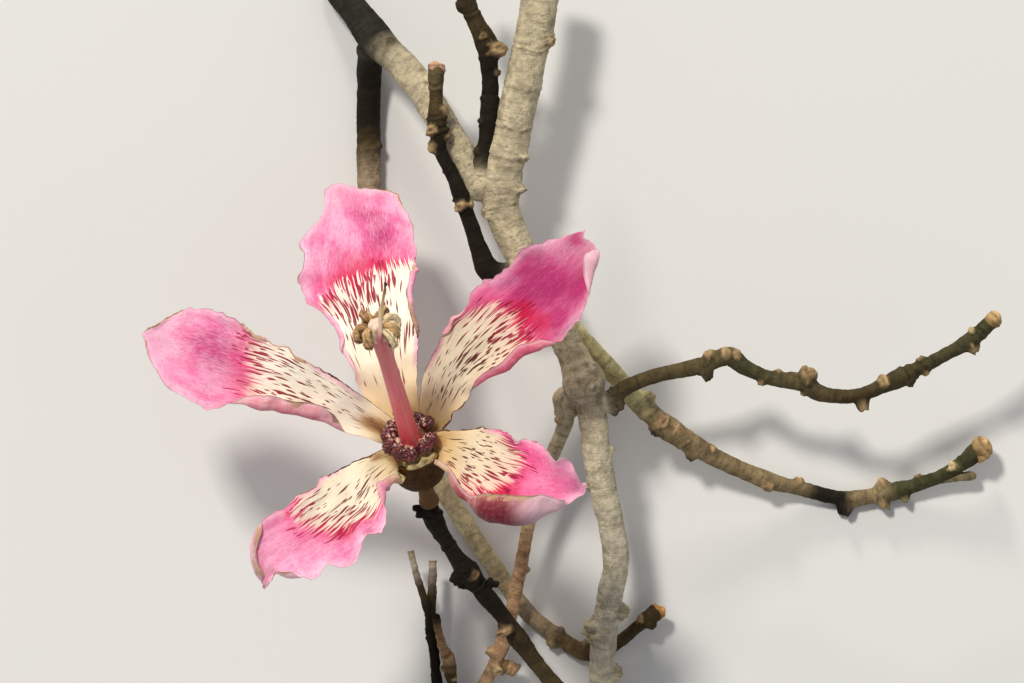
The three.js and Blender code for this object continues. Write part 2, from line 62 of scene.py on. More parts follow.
# Fineness: the length and width of a limb's faces, the fewest and most sides that it gets, and how many
# rows, columns or points the others have
RING_STEP = 0.36
RING_WIDTH = 0.33
LIMB_SIDES = (24, 84)
END_ROWS = 12
PETAL_ROWS = 230
PETAL_COLUMNS = 84
CURVE_POINTS = 3000
LINE_POINTS = 801

# Limbs. A limb is fitted to every third ring of the one that it grows on.
JOIN_STEP = 3
SWELL_REACH = 4.5
COLLAR_FLARE = 0.9
COLLAR_REACH = 2.0

# Flower. Angles are in degrees round its axis: 0 is to the right of the picture, and 90 to its top.
FLOWER_BASE = np.array([-46.1, -25.6, 66])
FLOWER_LEAN = np.array([-0.18, 0.61, 0.77])
FLOWER_AXIS = FLOWER_LEAN / np.linalg.norm(FLOWER_LEAN)
FLOWER_SIDE = np.cross(FLOWER_AXIS, [0, 0, 1])
FLOWER_ACROSS = FLOWER_SIDE / np.linalg.norm(FLOWER_SIDE)
FLOWER_BACK = np.cross(FLOWER_AXIS, FLOWER_ACROSS)
COLUMN_LENGTH = 52.5
COLUMN_RADIUS = (2.9, 2.4)
CALYX_RADIUS = 8.3
CALYX_DEPTH = 14.7
CALYX_WALL = 1.0
CALYX_LOBE = 3.6
CALYX_LOBE_AZIMUTH = -79
CALYX_LOBE_WIDTH = 38
PEDICEL_RADIUS = 2.5
PEDICEL_LENGTH = 11.4
CORONA_RADIUS = 6.4
CORONA_HEIGHT = 5
CORONA_LOBE_RADIUS = 2.35
CORONA_LOBE_TURN = 15
STAMINODE_AZIMUTHS = (41, -44, -116, 175, 112)
ANTHER_START = -60
ANTHER_STEP = 27
PETAL_THICKNESS = 0.6
PETAL_ROOT_RADIUS = 5
PETAL_ROOT_HEIGHT = -2
PETAL_ROOT_REACH = 1.8

# Each bark's roughness, contrast and relief
BARKS = dict(bark_grey=(0.85, 0.55, 0.5), bark_dark=(0.75, 0.6, 0.45), bark_olive=(0.65, 0.6, 0.4),
             bark_brown=(0.8, 0.65, 0.45), bark_black=(0.7, 0.5, 0.5))

# Each limb's route runs from its root, on another limb where it names one, to its tip. These are given
# at shares of its length: girth is the radius, swells are extra radius, rings are the heights of the scars
# round it, and tones are its colours, which on some limbs also hold painted shade or painted light. A
# node is a leaf scar or bud on the bark: (x, y) of its middle as seen from above, its radius, how far it
# stands out, and its tone where that isn't the bark's. A spur is a stub from (x, y) to (x, y) with its
# radius and tone, and a bud, as its radius and tone, ends the limb.
# Cut ends are sawn flat, at the root and at the tip. Rough is how flaky the bark is.
LIMB_DEFAULTS = dict(on=None, swells={}, nodes=[], rings={}, spurs=[], cut_ends=(False, False), rough=1)
LIMBS = {
    "main_limb": dict(
        route=[(-8.2, 114.3, 34), (-9.4, 104, 34), (-12.2, 89.5, 33.5), (-17.4, 66.5, 32), (-20.8, 49, 30),
               (-19.3, 40.5, 30), (-10.5, 22.5, 31), (-1.5, 5, 32), (5, -12, 32), (8, -32, 30.5),
               (11.4, -48, 27.5), (13, -58.5, 25), (10.8, -71, 21.5), (8.9, -88, 14.4), (9.3, -109, 3.3)],
        girth={0: 5.5, 0.24: 5.4, 0.34: 4.8, 0.5: 4.4, 0.65: 4, 0.8: 3.75, 1: 3.7},
        swells={0.24: 0.4, 0.275: 1.1, 0.54: 2},
        nodes=[(-6.8, 92.5, 2.4, 1.6, "tan"), (-14.1, 58.8, 2, 1.2), (-15.2, 49.3, 2.2, 1.6),
               (-24.5, 42, 2.4, 1.2), (6.3, -8.8, 2.6, 1.3), (9.4, -13.6, 2.2, 1), (5.4, -2.1, 1.7, 1.2),
               (4.3, -37.2, 1.8, 0.9), (11.2, -26.5, 1.8, 1.1), (5.1, -78, 2.8, 2.2, "moss"),
               (6.4, -80.5, 1.9, 1.5, "moss"), (15.7, -73.7, 2.9, 2.3, "moss"), (13, -91.4, 2.8, 2, "moss")],
        rings={0.1: -0.22, 0.15: 0.2, 0.2: 0.22, 0.235: 0.3, 0.3: 0.18},
        tones={0.3: "sand", 0.5: "clay", 0.75: "ash"}, slot="bark_grey", cut_ends=(True, True)),
    "left_fork": dict(
        on="main_limb",
        route=[(-20.5, 44.5, 30), (-29, 53.5, 30), (-33.3, 61.4, 29.5), (-39, 71, 27), (-43.7, 78.5, 24),
               (-49.8, 86, 20.5), (-56.2, 91.8, 16), (-60.8, 98.2, 12.2), (-65, 104, 8.7),
               (-70.8, 113, 3.9)],
        girth={0: 4.4, 0.3: 4.3, 1: 4.5}, swells={0.72: 0.7},
        nodes=[(-36.5, 63.5, 1.6, 0.7), (-41.5, 80.5, 1.7, 0.7), (-51.5, 91.5, 1.8, 0.8, "dark")],
        # Shade, at the far end, is painted shade on that part of the fork
        tones={0: "clay", 0.55: "sand", 0.7: "shade"}, slot="bark_grey", cut_ends=(False, True)),
    "hanging_twig": dict(
        on="left_fork",
        route=[(-57.5, 93.5, 15.5), (-59, 85, 9.5), (-59.3, 74, 5.5), (-59.2, 52, 4.2), (-58.3, 31.5, 3.8),
               (-55.4, 8, 3.4), (-49.3, -15, 3.3), (-41.8, -31, 3.2), (-27, -54.3, 3.1), (-12.5, -74.6, 2.8),
               (-6.1, -79.8, 2.7), (-1, -83.4, 2.7)],
        girth={0: 3.6, 0.6: 3, 0.85: 2.5, 1: 2.2}, swells={0.3: 0.4, 0.62: 0.4},
        nodes=[(-56.4, 62, 1.6, 0.7, "dark"), (-61.6, 45, 1.5, 0.7), (-20, -66.5, 1.6, 0.7, "tan"),
               (-5.5, -83, 2.2, 1.5, "moss"), (-2.8, -79, 1.6, 0.8)],
        # Coal and umber near the root are painted shade; gold in the middle is partly the twig's own light
        # tan, partly painted light where the flower shades it
        tones={0.14: "coal", 0.17: "umber", 0.22: "fawn", 0.5: "gold", 0.8: "gold", 0.92: "fawn", 1: "dim"},
        slot="bark_dark"),
    "hanging_twig_tip": dict(
        route=[(-0.6, -83.7, 2.7), (2.4, -85.4, 2.8), (6.5, -86, 3.2), (10.5, -84.9, 4), (14.5, -82.4, 5),
               (18.9, -78.7, 6.2), (24.6, -74.2, 7.8)],
        girth={0: 2.2, 0.45: 1.9, 0.85: 1.6, 1: 1.9}, swells={0.2: 0.5, 0.97: 0.7},
        nodes=[(4, -83.4, 2, 1.2, "moss"), (8.5, -87.5, 1.6, 1), (20.5, -75.8, 1.6, 1, "tan"),
               (23.4, -78, 1.7, 1.1, "dark")],
        rings={0.9: 0.3}, tones={0: "dim", 0.4: "umber"}, slot="bark_dark", bud=(1.9, "bud_orange")),
    "upright_twig": dict(
        on="main_limb",
        route=[(-23.5, 48.5, 31), (-26.4, 54.5, 32), (-24.6, 65, 32.5), (-23.8, 75, 32.5), (-24, 85, 33),
               (-24.7, 91.5, 33), (-28, 98.2, 33.5), (-30.4, 104, 34), (-30.8, 113, 34)],
        girth={0: 2.4, 1: 2.5}, swells={0.36: 0.4, 0.66: 0.8},
        nodes=[(-22, 90, 2.6, 2.4, "tan"), (-25.8, 94, 1.5, 0.9, "dim"), (-32.8, 102.3, 1.7, 1.1, "dark"),
               (-21.9, 83.3, 1.5, 0.9, "dim"), (-26.4, 69, 1.5, 0.8, "dark"),
               (-27.6, 60.5, 1.5, 0.8, "dark")],
        rings={0.3: 0.2, 0.42: 0.25, 0.6: 0.25, 0.8: 0.2}, tones={0.6: "coal", 0.75: "umber", 1: "coal"},
        slot="bark_dark", cut_ends=(False, True)),
    "short_twig": dict(
        on="main_limb",
        route=[(-12.5, 27, 32), (-19.4, 25, 33.5), (-24, 25.6, 34.5), (-26.8, 31.5, 35.5), (-29.4, 39, 36.3),
               (-31.8, 46, 37), (-34.7, 53.3, 37), (-38.2, 60.5, 37), (-39.2, 68, 37), (-39.5, 76, 36.5),
               (-39.5, 84, 36)],
        girth={0: 2.6, 0.3: 2.4, 0.5: 2, 1: 1.8}, swells={0.17: 0.9, 0.49: 0.4, 0.79: 1, 0.99: 0.6},
        nodes=[(-37.4, 72.4, 1.6, 1.3, "tan"), (-40.6, 66.4, 1.9, 1.3, "tan"), (-36.5, 64.7, 1.7, 1, "tan"),
               (-40.4, 61.4, 2.1, 1.4, "tan"), (-32.3, 44.4, 1.9, 1.6, "tan"),
               (-29.3, 45.2, 1.5, 0.8, "pale"), (-21.5, 23.2, 1.6, 0.7, "dark")],
        rings={0.48: 0.2, 0.6: 0.2, 0.76: 0.7, 0.81: 0.7, 0.93: 0.35},
        tones={0.7: "coal", 0.85: "umber", 1: "olive"}, slot="bark_dark", bud=(1.9, "bud_pink")),
    "right_upper_twig": dict(
        on="main_limb",
        route=[(5.5, -13, 32.5), (11, -12, 33), (15.4, -8.7, 33.5), (21.2, -6, 34), (27, -4.4, 34.5),
               (38.6, -1.8, 35.5), (45.8, 0.6, 36), (50.2, -2.4, 36.3), (58.5, -5.8, 36.6), (67.5, -7, 37),
               (72, -10, 37), (83, -10.8, 37.2), (91, -7.6, 37.3), (102, -2.3, 37.5), (116.8, 6, 38),
               (122.4, 11.1, 38)],
        girth={0: 2.6, 0.15: 2.1, 0.8: 2, 1: 1.6},
        swells={0.25: 0.4, 0.34: 0.8, 0.5: 0.4, 0.54: 0.5, 0.75: 0.8, 0.93: 0.6, 0.99: 0.6},
        nodes=[(13.2, -14.2, 1.9, 1.6, "dark"), (12.2, -9.3, 1.8, 1), (40, 0.9, 2, 1.3, "tan"),
               (39.2, -4.8, 1.9, 2.1, "dark"), (45.2, 1.6, 1.7, 1, "tan"), (48.2, 0.8, 1.7, 1.2, "tan"),
               (54.9, -8, 1.5, 0.9, "tan"), (60.1, -3.9, 1.6, 0.9, "tan"), (68.3, -5.2, 2.3, 2.4, "tan"),
               (66, -11.5, 1.6, 0.7, "tan"), (84.4, -12.9, 1.8, 2.3, "tan"), (91, -6.6, 2.1, 1.3, "tan"),
               (98.9, -7.6, 1.6, 0.9, "dark"), (101.2, -0.3, 1.3, 0.9, "tan"),
               (103.5, -4.6, 1.5, 0.8, "tan"), (116.4, 8, 1.6, 1, "pale"), (117.3, 2.8, 2, 1.6, "tan")],
        rings={0.765: 0.3, 0.785: 0.3, 0.805: 0.3, 0.825: 0.3, 0.96: 0.25},
        tones={0: "umber", 0.3: "olive", 0.38: "fern", 0.5: "olive", 0.62: "umber", 1: "fern"},
        slot="bark_olive", bud=(2, "bud_tan")),
    "right_lower_twig": dict(
        on="main_limb",
        route=[(-1, 9.7, 27.3), (5.8, 2.5, 26), (13, -5.3, 24), (20.3, -13.4, 21), (27.8, -20.1, 17.5),
               (41.8, -28.8, 12), (58, -35.8, 7), (66.1, -37.8, 4.6), (80, -41, 2.4), (87, -40.3, 2.6),
               (100.9, -36.9, 4.4), (108.8, -34, 6.3), (114.8, -30, 7.8), (119.5, -26.2, 9)],
        girth={0: 2.9, 0.4: 2.7, 0.55: 2.1, 1: 1.9},
        swells={0.22: 0.5, 0.3: 0.8, 0.36: 0.4, 0.53: 0.5, 0.72: 0.4, 0.8: 0.6, 0.985: 0.9},
        nodes=[(22.3, -11, 2.3, 1.6, "moss"), (25.8, -17.6, 2.6, 0.9, "rust"), (24, -20.6, 2, 1.2, "dark"),
               (30.5, -20, 2.2, 0.6, "rust"), (34.8, -28.4, 2, 1.3, "dark"), (40.6, -25.9, 1.7, 0.8, "tan"),
               (57, -37.4, 2.1, 0.9, "rust"), (66.7, -35, 2, 1.1, "rust"), (80, -43.6, 2.3, 2.3, "soot"),
               (90.8, -37, 2, 1.8, "tan"), (91.7, -43.2, 1.8, 1.9, "tan"), (97.6, -40.9, 1.5, 1.4, "moss"),
               (101.5, -34.6, 1.5, 0.9, "tan"), (111.5, -31.4, 1.6, 0.9, "pale")],
        rings={0.24: 0.25, 0.34: 0.25, 0.62: 0.2, 0.76: 0.3, 0.95: 0.25},
        spurs=[(105.6, -35.4, 118.4, -34.2, 1.4, "sedge"), (118.6, -27.6, 120.8, -29.8, 2, "bud_tan")],
        tones={0.2: "lime", 0.26: "drab", 0.6: "drab", 0.64: "coal", 0.695: "coal", 0.72: "drab",
               0.77: "drab", 0.81: "fern"},
        slot="bark_olive", bud=(2.6, "bud_tan")),
    "brown_twig": dict(
        on="main_limb",
        route=[(4, -11.4, 30), (-1.4, -12.6, 28.6), (-2, -19, 27), (-5, -26.5, 25), (-9.8, -38, 21.7),
               (-12.8, -49.7, 18.5), (-15.5, -64, 14.8), (-19.6, -82, 9.8), (-24.4, -93.2, 6.4),
               (-30, -101, 4.2), (-42.6, -114, 1.9)],
        girth={0: 2.3, 0.3: 1.9, 1: 1.9}, swells={0.06: 0.9, 0.67: 0.4},
        nodes=[(-2.9, -10, 2, 1.2), (0.6, -15, 2, 1.2), (-4.1, -18, 1.7, 0.8, "rust"),
               (-13.2, -61.4, 1.3, 0.9, "rust"), (-23.4, -85.6, 1.8, 1.6, "tan"),
               (-21.6, -90.6, 2, 1.6, "moss")],
        rings={0.08: 0.3, 0.5: 0.2},
        spurs=[(-22, -89.6, -18.4, -90.4, 2.1, "dim"), (-18.5, -90.2, -15.8, -91.6, 2.1, "rust")],
        # Copper in the middle is partly painted light where the flower shades it
        tones={0.25: "clay", 0.4: "copper", 0.65: "copper", 1: "fawn"}, slot="bark_brown",
        cut_ends=(False, True)),
    "flower_twig": dict(
        on="main_limb",
        route=[(8.8, -107, 6), (-0.5, -99.5, 11), (-6.2, -94, 14.5), (-16, -81, 21.5), (-19.2, -76.4, 24),
               (-25, -69, 28.8), (-30.2, -62.4, 33), (-36, -54, 38), (-39.6, -47.8, 41.8),
               (-41.6, -42.2, 45.5)],
        girth={0: 2.4, 1: 2.2}, swells={0.42: 0.6, 0.6: 0.5, 0.71: 1.4, 0.94: 0.8},
        nodes=[(-33.4, -64.2, 2.4, 1.8, "soot"), (-29.3, -61.5, 1.9, 1.2, "dim"),
               (-31.5, -60, 1.5, 0.8, "soot"), (-32, -66.5, 1.6, 1, "soot"),
               (-19.9, -78.2, 2.3, 2.2, "rust"), (-40.2, -43.8, 1.5, 0.9, "soot"),
               (-43.8, -44.6, 1.8, 1.6, "soot")],
        rings={0.66: 0.35, 0.73: 0.35, 0.83: 0.3, 0.88: 0.25, 0.96: 0.35},
        spurs=[(-42.5, -43.8, -46.4, -43.4, 1, "soot"), (-25.2, -66.6, -22.6, -64.6, 1.5, "soot"),
               (-23.6, -65.6, -21.2, -66, 1, "soot")],
        # Coal: the twig's own near-black bark, and partly painted shade
        tones={0: "olive", 0.35: "umber", 0.55: "coal"}, slot="bark_black"),
    "dry_twig_b": dict(
        on="brown_twig",
        route=[(-37.3, -108.5, 3), (-39.4, -94, 6.5), (-40.3, -84.5, 8.5), (-41.2, -75.8, 10),
               (-40.6, -67, 11.3), (-40.6, -59, 12)],
        girth={0: 1.6, 0.5: 1.4, 1: 1.2}, swells={0.6: 0.4}, nodes=[(-42.7, -71.7, 1.1, 0.9, "dim")],
        rings={0.55: 0.2}, tones={0.6: "coal", 0.8: "umber", 0.97: "grey", 1: "fawn"}, slot="bark_brown",
        cut_ends=(False, True), rough=2.2),
    "dry_twig_a": dict(
        on="dry_twig_b",
        route=[(-41.2, -76.5, 10), (-42, -73, 11), (-44.1, -67, 12), (-45.8, -61.3, 12.8),
               (-47, -56.1, 13.2)],
        girth={0: 1.1, 1: 1}, tones={0.5: "umber", 0.8: "grey", 1: "fawn"}, slot="bark_brown",
        cut_ends=(False, True), rough=2.2),
    "dry_twig_c": dict(
        on="brown_twig",
        route=[(-32.3, -103.4, 4.2), (-35, -94, 8.5), (-35.8, -88, 11), (-37.4, -84.7, 12.6),
               (-39, -79, 14.8), (-39.4, -75.2, 16)],
        girth={0: 1.4, 1: 1.1}, swells={0.52: 0.7},
        nodes=[(-36, -87.1, 1.3, 0.8, "tan"), (-37.6, -90.4, 1.3, 1, "moss"), (-34.3, -93, 1.1, 0.7, "tan")],
        rings={0.4: 0.2, 0.6: 0.2}, tones={0: "coal", 0.4: "umber", 0.7: "copper", 1: "coal"},
        slot="bark_brown", rough=2.2),
}

# Petals. A station is (x, y, z, reach to the left of the spine, reach to its right), seen from above
# and looking from the claw to the tip. Azimuth is the claw's place round the flower's axis. Blush is the
# share where the pink begins, from the left margin to the right one. Comb is how far the streaks reach
# into the pink, and claw how far out the claw's cream has turned to the blade's. Lift raises the two
# margins, left first. These also come in pairs, and are given at shares of the length: trims are nicks
# and lobes of the margin, rolls are how far it curls back inwards, and dry is how withered it is, from 0
# to 1. Tip is how far the tip's edge stands out, from the right margin at -1 to the left one at 1.
# The soft spots that come next are (share, across, amount, length, breadth): brown stain at the claw, with
# painted shade where the claws meet the corona; maroon strokes; mauve, partly painted shade where folds and
# curls darken the blade; and crimson. Paint is pale and full rose, blade and claw cream, near and far ink,
# and the back's pale and full rose and its rose of painted shade.
PETALS = {
    "petal_left": dict(
        azimuth=166, seed=3, lift=(2.5, 0.5), comb=0.45, blush=(0.57, 0.56, 0.565, 0.585, 0.575),
        stations=[(-52.2, -22.7, 65, 2.9, 2.9), (-62.1, -16.9, 67.5, 5.4, 5.4), (-73.7, -10.2, 72.5, 7, 7),
                  (-85.8, -5.3, 76, 9.3, 8.7), (-98.3, -2.7, 75, 11.6, 11.8), (-109, 0.8, 72, 12, 13.9),
                  (-117.2, 3.4, 68, 8.4, 10.6), (-123.3, 6.4, 64, 1.9, 1.9)],
        paint="eaa1be e873a3 fdf2de e4c58a a01a38 761a20 f6bcc0 e6929c cc6880",
        trims=({0: 0.8, 0.3: -0.3, 0.45: 0.7, 0.52: 0.2, 0.57: -1.4, 0.61: -1.2, 0.63: 0.6, 0.66: 1.7,
                0.7: 0.7, 0.77: 0.3, 0.81: 0.6, 0.86: -0.5, 1: -0.6},
               {0: 0.8, 0.25: 0.5, 0.475: -0.7, 0.49: 0.9, 0.52: -0.5, 0.55: 0.5, 0.58: 0.1, 0.63: 1, 0.8: 0,
                0.92: 1.4, 1: 1}),
        rolls=({0.26: 0, 0.31: 3, 0.36: 4.4, 0.45: 3.7, 0.5: 4.3, 0.55: 3.2, 0.61: 0},
               {0.4: 0, 0.45: 0.9, 0.55: 1, 0.66: 0}),
        dry=({0.28: 0, 0.31: 1, 0.34: 0.2, 0.39: 0.2, 0.42: 1, 0.46: 0.1, 0.95: 0.3},
             {0.2: 0.3, 0.42: 1, 0.62: 1, 0.68: 0.3, 0.84: 0.1, 0.9: 1, 1: 1}),
        tip={-1: 0.6, 0.1: 1.4, 1: -0.5}, stain_and_shade=[(0.19, 0, 1.2, 0.06, 0.5), (0.1, 0, 1.2, 0.05, 0.9)],
        ink=[(0.5, 0.3, 1, 0.05, 0.2), (0.53, -0.5, 0.9, 0.05, 0.3), (0.33, 0.55, 0.6, 0.08, 0.25),
             (0.42, -0.6, 0.6, 0.1, 0.3), (0.4, 0.1, 0.7, 0.1, 0.4)],
        mauve_and_shade=[(0.74, -0.3, 0.62, 0.09, 0.4), (0.66, -0.2, 0.4, 0.07, 0.5)],
        hot=[(0.6, 0.25, 0.4, 0.045, 0.4), (0.6, -0.3, 0.25, 0.04, 0.4), (0.53, 0.34, 0.8, 0.05, 0.1)]),
    "petal_top": dict(
        azimuth=94, seed=11, lift=(1, 2), comb=0.95, claw=36, blush=(0.585, 0.665, 0.705, 0.745, 0.745),
        stations=[(-47.6, -21.3, 62.5, 2.9, 2.9), (-51.3, -12.6, 63, 5.6, 6.4), (-54.5, -3.3, 64, 8.2, 9.4),
                  (-56.8, 6.9, 62, 9.8, 11.6), (-58.5, 14, 59, 12.4, 12.4), (-59.9, 21, 55.5, 17.6, 14.4),
                  (-60.9, 28, 51, 16.6, 15.8), (-61.5, 38.8, 44, 13.2, 14.4), (-62.2, 50, 37, 7, 6.6)],
        paint="eca0bf de6a98 fbf1de e2c288 a4163a 7c1522 f0a6c2 df7fa4 cb6a92",
        trims=({0: 0.8, 0.32: 1, 0.36: 0.2, 0.42: 1.4, 0.46: 0, 0.58: -0.4, 0.64: 0.8, 0.67: 0, 0.71: 0.5,
                0.745: 2, 0.785: 0.3, 0.82: 1.2, 0.845: 3.4, 0.91: 0.1, 0.95: 0.1, 1: 3},
               {0: 0.8, 0.43: 0.6, 0.6: 0, 0.69: 0.2, 0.7: 1.3, 0.715: 0.2, 0.85: 0, 0.91: 0.9, 0.96: 2.9,
                1: 5}),
        rolls=({0.4: 0, 0.45: 0.9, 0.53: 1.5, 0.6: 0},
               {0.4: 0, 0.46: 1.2, 0.6: 1.6, 0.7: 1.6, 0.78: 0}),
        dry=({0.7: 0, 0.745: 0.5, 0.78: 0.1, 0.83: 0.6, 0.86: 0, 1: 0},
             {0.2: 0.2, 0.4: 0.4, 0.45: 1, 0.54: 0.8, 0.6: 0.1, 0.72: 0.6, 0.78: 0, 0.93: 0.4, 0.97: 1,
              1: 1}),
        tip={-1: -3.4, -0.6: -1.6, -0.2: -0.7, 0.2: 0, 0.45: 1.4, 0.75: 1.2, 1: -0.6},
        stain_and_shade=[(0.14, -0.5, 1, 0.05, 0.5), (0.09, 0, 0.8, 0.04, 0.8)],
        ink=[(0.58, 0.3, 2.2, 0.09, 0.35), (0.6, -0.3, 1.4, 0.08, 0.25), (0.6, 0.75, 0.8, 0.04, 0.2),
             (0.66, 0.1, 1.2, 0.05, 0.3), (0.38, -0.4, 1.5, 0.14, 0.45)],
        mauve_and_shade=[(0.85, -0.4, 0.9, 0.06, 0.3), (0.92, -0.1, 0.7, 0.03, 0.4), (0.8, 0.4, 0.3, 0.06, 0.4)],
        hot=[(0.7, 0.25, 1.1, 0.05, 0.4), (0.75, -0.45, 0.9, 0.04, 0.35), (0.78, 0.1, 0.6, 0.05, 0.4)]),
    "petal_upper_right": dict(
        azimuth=35, seed=17, lift=(0.5, 2.5), comb=0.6, blush=(0.46, 0.57, 0.605, 0.605, 0.6),
        stations=[(-41.2, -20.7, 64, 2.9, 2.9), (-38, -12.6, 65.5, 6.2, 6), (-34.2, -3.3, 70, 6.4, 7.4),
                  (-26.1, 6, 74, 9, 11), (-16.2, 13.5, 74, 12, 13.2), (-7.5, 19.9, 72, 12.6, 11.8),
                  (-0.6, 25.7, 69, 10.4, 7.2), (4.4, 31.4, 65, 4.6, 2)],
        # Its paint is darker than the other petals': partly its own deeper rose, partly painted shade
        paint="d07298 c23a74 ebdabd d4ab70 961032 500e0e ea8a98 da5f7a b8435f",
        trims=({0: 0.6, 0.28: 0.4, 0.33: 1.2, 0.4: 0.9, 0.43: 1.7, 0.455: 0.8, 0.475: 1.6, 0.51: -0.2,
                0.55: 2, 0.6: 1.2, 0.63: -0.1, 0.7: -0.7, 0.78: 1.6, 0.87: 0.3, 0.92: 2.4, 0.96: 1, 1: 0.4},
               {0: 0.6, 0.2: 0, 0.23: -1.1, 0.27: 0.6, 0.4: 0.8, 0.5: 0.7, 0.57: -1, 0.63: -0.5, 0.69: 1.9,
                0.73: 0.8, 0.79: 1.8, 0.9: 0.3, 1: 0.8}),
        rolls=({0.42: 0, 0.45: 1, 0.53: 0, 1: 0},
               {0.33: 0, 0.4: 2, 0.58: 3.4, 0.64: 2.2, 0.68: 0, 0.86: 0, 0.9: 2.8, 0.95: 4.8, 1: 1.6}),
        dry=({0.25: 0.4, 0.42: 0.5, 0.5: 0.1, 0.6: 0, 1: 0},
             {0.2: 0.8, 0.34: 0.5, 0.4: 0, 0.6: 0, 0.67: 0.4, 0.75: 0.1, 1: 0}),
        tip={-1: 0.5, -0.4: 2.2, 0: 3.2, 0.45: 2.6, 0.62: 2.6, 0.78: 4.6, 0.9: 1.2, 1: 0.4},
        stain_and_shade=[(0.13, -0.35, 1, 0.04, 0.4), (0.09, 0.2, 1.1, 0.05, 0.8)],
        ink=[(0.44, -0.12, 1.3, 0.1, 0.28), (0.53, -0.3, 1.6, 0.07, 0.22), (0.33, 0.2, 0.6, 0.09, 0.5),
             (0.57, 0.08, 0.9, 0.05, 0.2), (0.56, 0.55, 0.6, 0.03, 0.2)],
        mauve_and_shade=[(0.76, 0.1, 1.2, 0.14, 0.75), (0.86, -0.62, 1.2, 0.06, 0.3), (0.97, 0.6, 1, 0.03, 0.4)],
        hot=[(0.63, -0.05, 1.3, 0.06, 0.3), (0.57, 0.4, 0.6, 0.04, 0.3), (0.67, -0.5, 0.8, 0.05, 0.25)]),
    "petal_right": dict(
        azimuth=-28, seed=23, lift=(1, 3), comb=0.7, blush=(0.44, 0.6, 0.575, 0.45, 0.4),
        stations=[(-40.6, -25.9, 67, 3, 3), (-33.9, -27.1, 72.5, 6.8, 6.2), (-26.1, -30.2, 85, 10.7, 11.4),
                  (-17.4, -33.4, 94, 11, 13.4), (-9.3, -35.8, 100, 9.7, 11.6), (-2.6, -36.9, 102, 7.2, 5.6),
                  (3.6, -38, 99, 1.6, 1.4)],
        # The back's roses are darker and browner than on the other petals: partly the lip's own colour,
        # partly painted shade on the belly of the big lower roll
        paint="ee8bb2 e4669a e6d6b8 dcb67c 981238 4c0c10 b87878 8c3c44 6c202c",
        trims=({0: 0.6, 0.2: 1.2, 0.3: 0, 0.36: 0.7, 0.4: 0, 0.5: -0.2, 0.545: -1.4, 0.58: 0.1, 0.65: 0.6,
                0.73: 0.1, 0.78: -1.8, 0.83: 0.2, 0.86: 0.5, 0.97: -0.9, 1: 0.3},
               {0: 2.2, 0.1: 1.2, 0.3: 0.2, 0.4: 0.3, 0.58: 1.3, 0.7: 0.9, 0.77: -0.2, 0.84: 0.6, 0.88: 0,
                0.92: 1, 1: 0}),
        rolls=({0.5: 0, 0.56: 1, 0.66: 0},
               {0.1: 0, 0.18: 1.4, 0.3: 2, 0.36: 2.8, 0.44: 2.2, 0.54: 7.2, 0.62: 8.4, 0.7: 8.4, 0.76: 6.8,
                0.91: 0}),
        dry=({0.1: 0.4, 0.2: 0.8, 0.38: 0.9, 0.42: 0.2, 0.6: 0, 1: 0},
             {0.2: 0.1, 0.46: 0.2, 0.54: 1, 0.7: 1, 0.76: 0.3, 0.9: 0}),
        tip={-1: -0.6, 0: 0.2, 1: 0}, stain_and_shade=[(0.18, 0.3, 0.8, 0.05, 0.5), (0.11, 0, 1.2, 0.05, 0.9)],
        ink=[(0.4, 0.3, 1.7, 0.03, 0.1), (0.42, -0.22, 1.6, 0.07, 0.18), (0.53, 0.2, 1.1, 0.05, 0.2),
             (0.33, -0.5, 0.9, 0.08, 0.2), (0.5, -0.05, 1.2, 0.03, 0.1), (0.43, 0.5, 0.7, 0.03, 0.1)],
        mauve_and_shade=[(0.42, 0.85, 1.2, 0.07, 0.18), (0.52, 0.82, 1.4, 0.05, 0.12), (0.6, 0.62, 0.8, 0.04, 0.1)],
        hot=[(0.55, -0.28, 1.5, 0.07, 0.2), (0.62, 0.1, 0.5, 0.03, 0.3)]),
    "petal_lower_left": dict(
        azimuth=-114, seed=31, lift=(3, 0.5), comb=0.85, blush=(0.2, 0.445, 0.565, 0.605, 0.58),
        stations=[(-50.5, -29.1, 69, 3, 3), (-57.7, -33.1, 75, 5.4, 4.8), (-63.2, -40.7, 88, 11.2, 10),
                  (-69.9, -46.8, 96, 12.2, 10.4), (-76.9, -52, 101, 10.2, 10.2),
                  (-83.2, -55.5, 103, 8.4, 9.6), (-88, -59.4, 102, 5, 6), (-88.7, -65.2, 99, 1.6, 1.6)],
        paint="fba6c6 f684b0 f8ead0 e4cb94 b01c4a 5c0c14 e596ae cf6c90 a84a70",
        trims=({0: 4.2, 0.06: 5.2, 0.12: 4, 0.18: 1.6, 0.26: 0.8, 0.295: -1.4, 0.33: -1.2, 0.36: 0.2,
                0.39: 1, 0.405: 0.2, 0.43: -2.5, 0.46: -1.6, 0.48: 0, 0.52: 1.7, 0.56: 2.4, 0.59: 1.1,
                0.61: -0.5, 0.65: 1.6, 0.69: 1.6, 0.72: -0.6, 0.8: 0.3, 0.9: 0.6, 1: 0},
               {0: 0.8, 0.24: 0.5, 0.31: 1.5, 0.37: 0.5, 0.4: 0.9, 0.45: -0.3, 0.55: 1.6, 0.6: 0.6,
                0.64: 0.6, 0.71: 1.5, 0.85: 0.4, 0.9: -1.8, 0.96: -2, 1: -1}),
        rolls=({0.12: 0, 0.18: 1.6, 0.27: 3.2, 0.31: 3.2, 0.335: 0, 0.73: 0, 0.78: 2.2, 0.86: 2.4, 0.92: 0.6,
                1: 0},
               {0.76: 0, 0.8: 1.4, 0.86: 2.4, 0.93: 2, 1: 0.6}),
        dry=({0.2: 0, 0.36: 0, 0.44: 0.3, 0.5: 0, 0.72: 0, 0.84: 0.7, 0.95: 0.2},
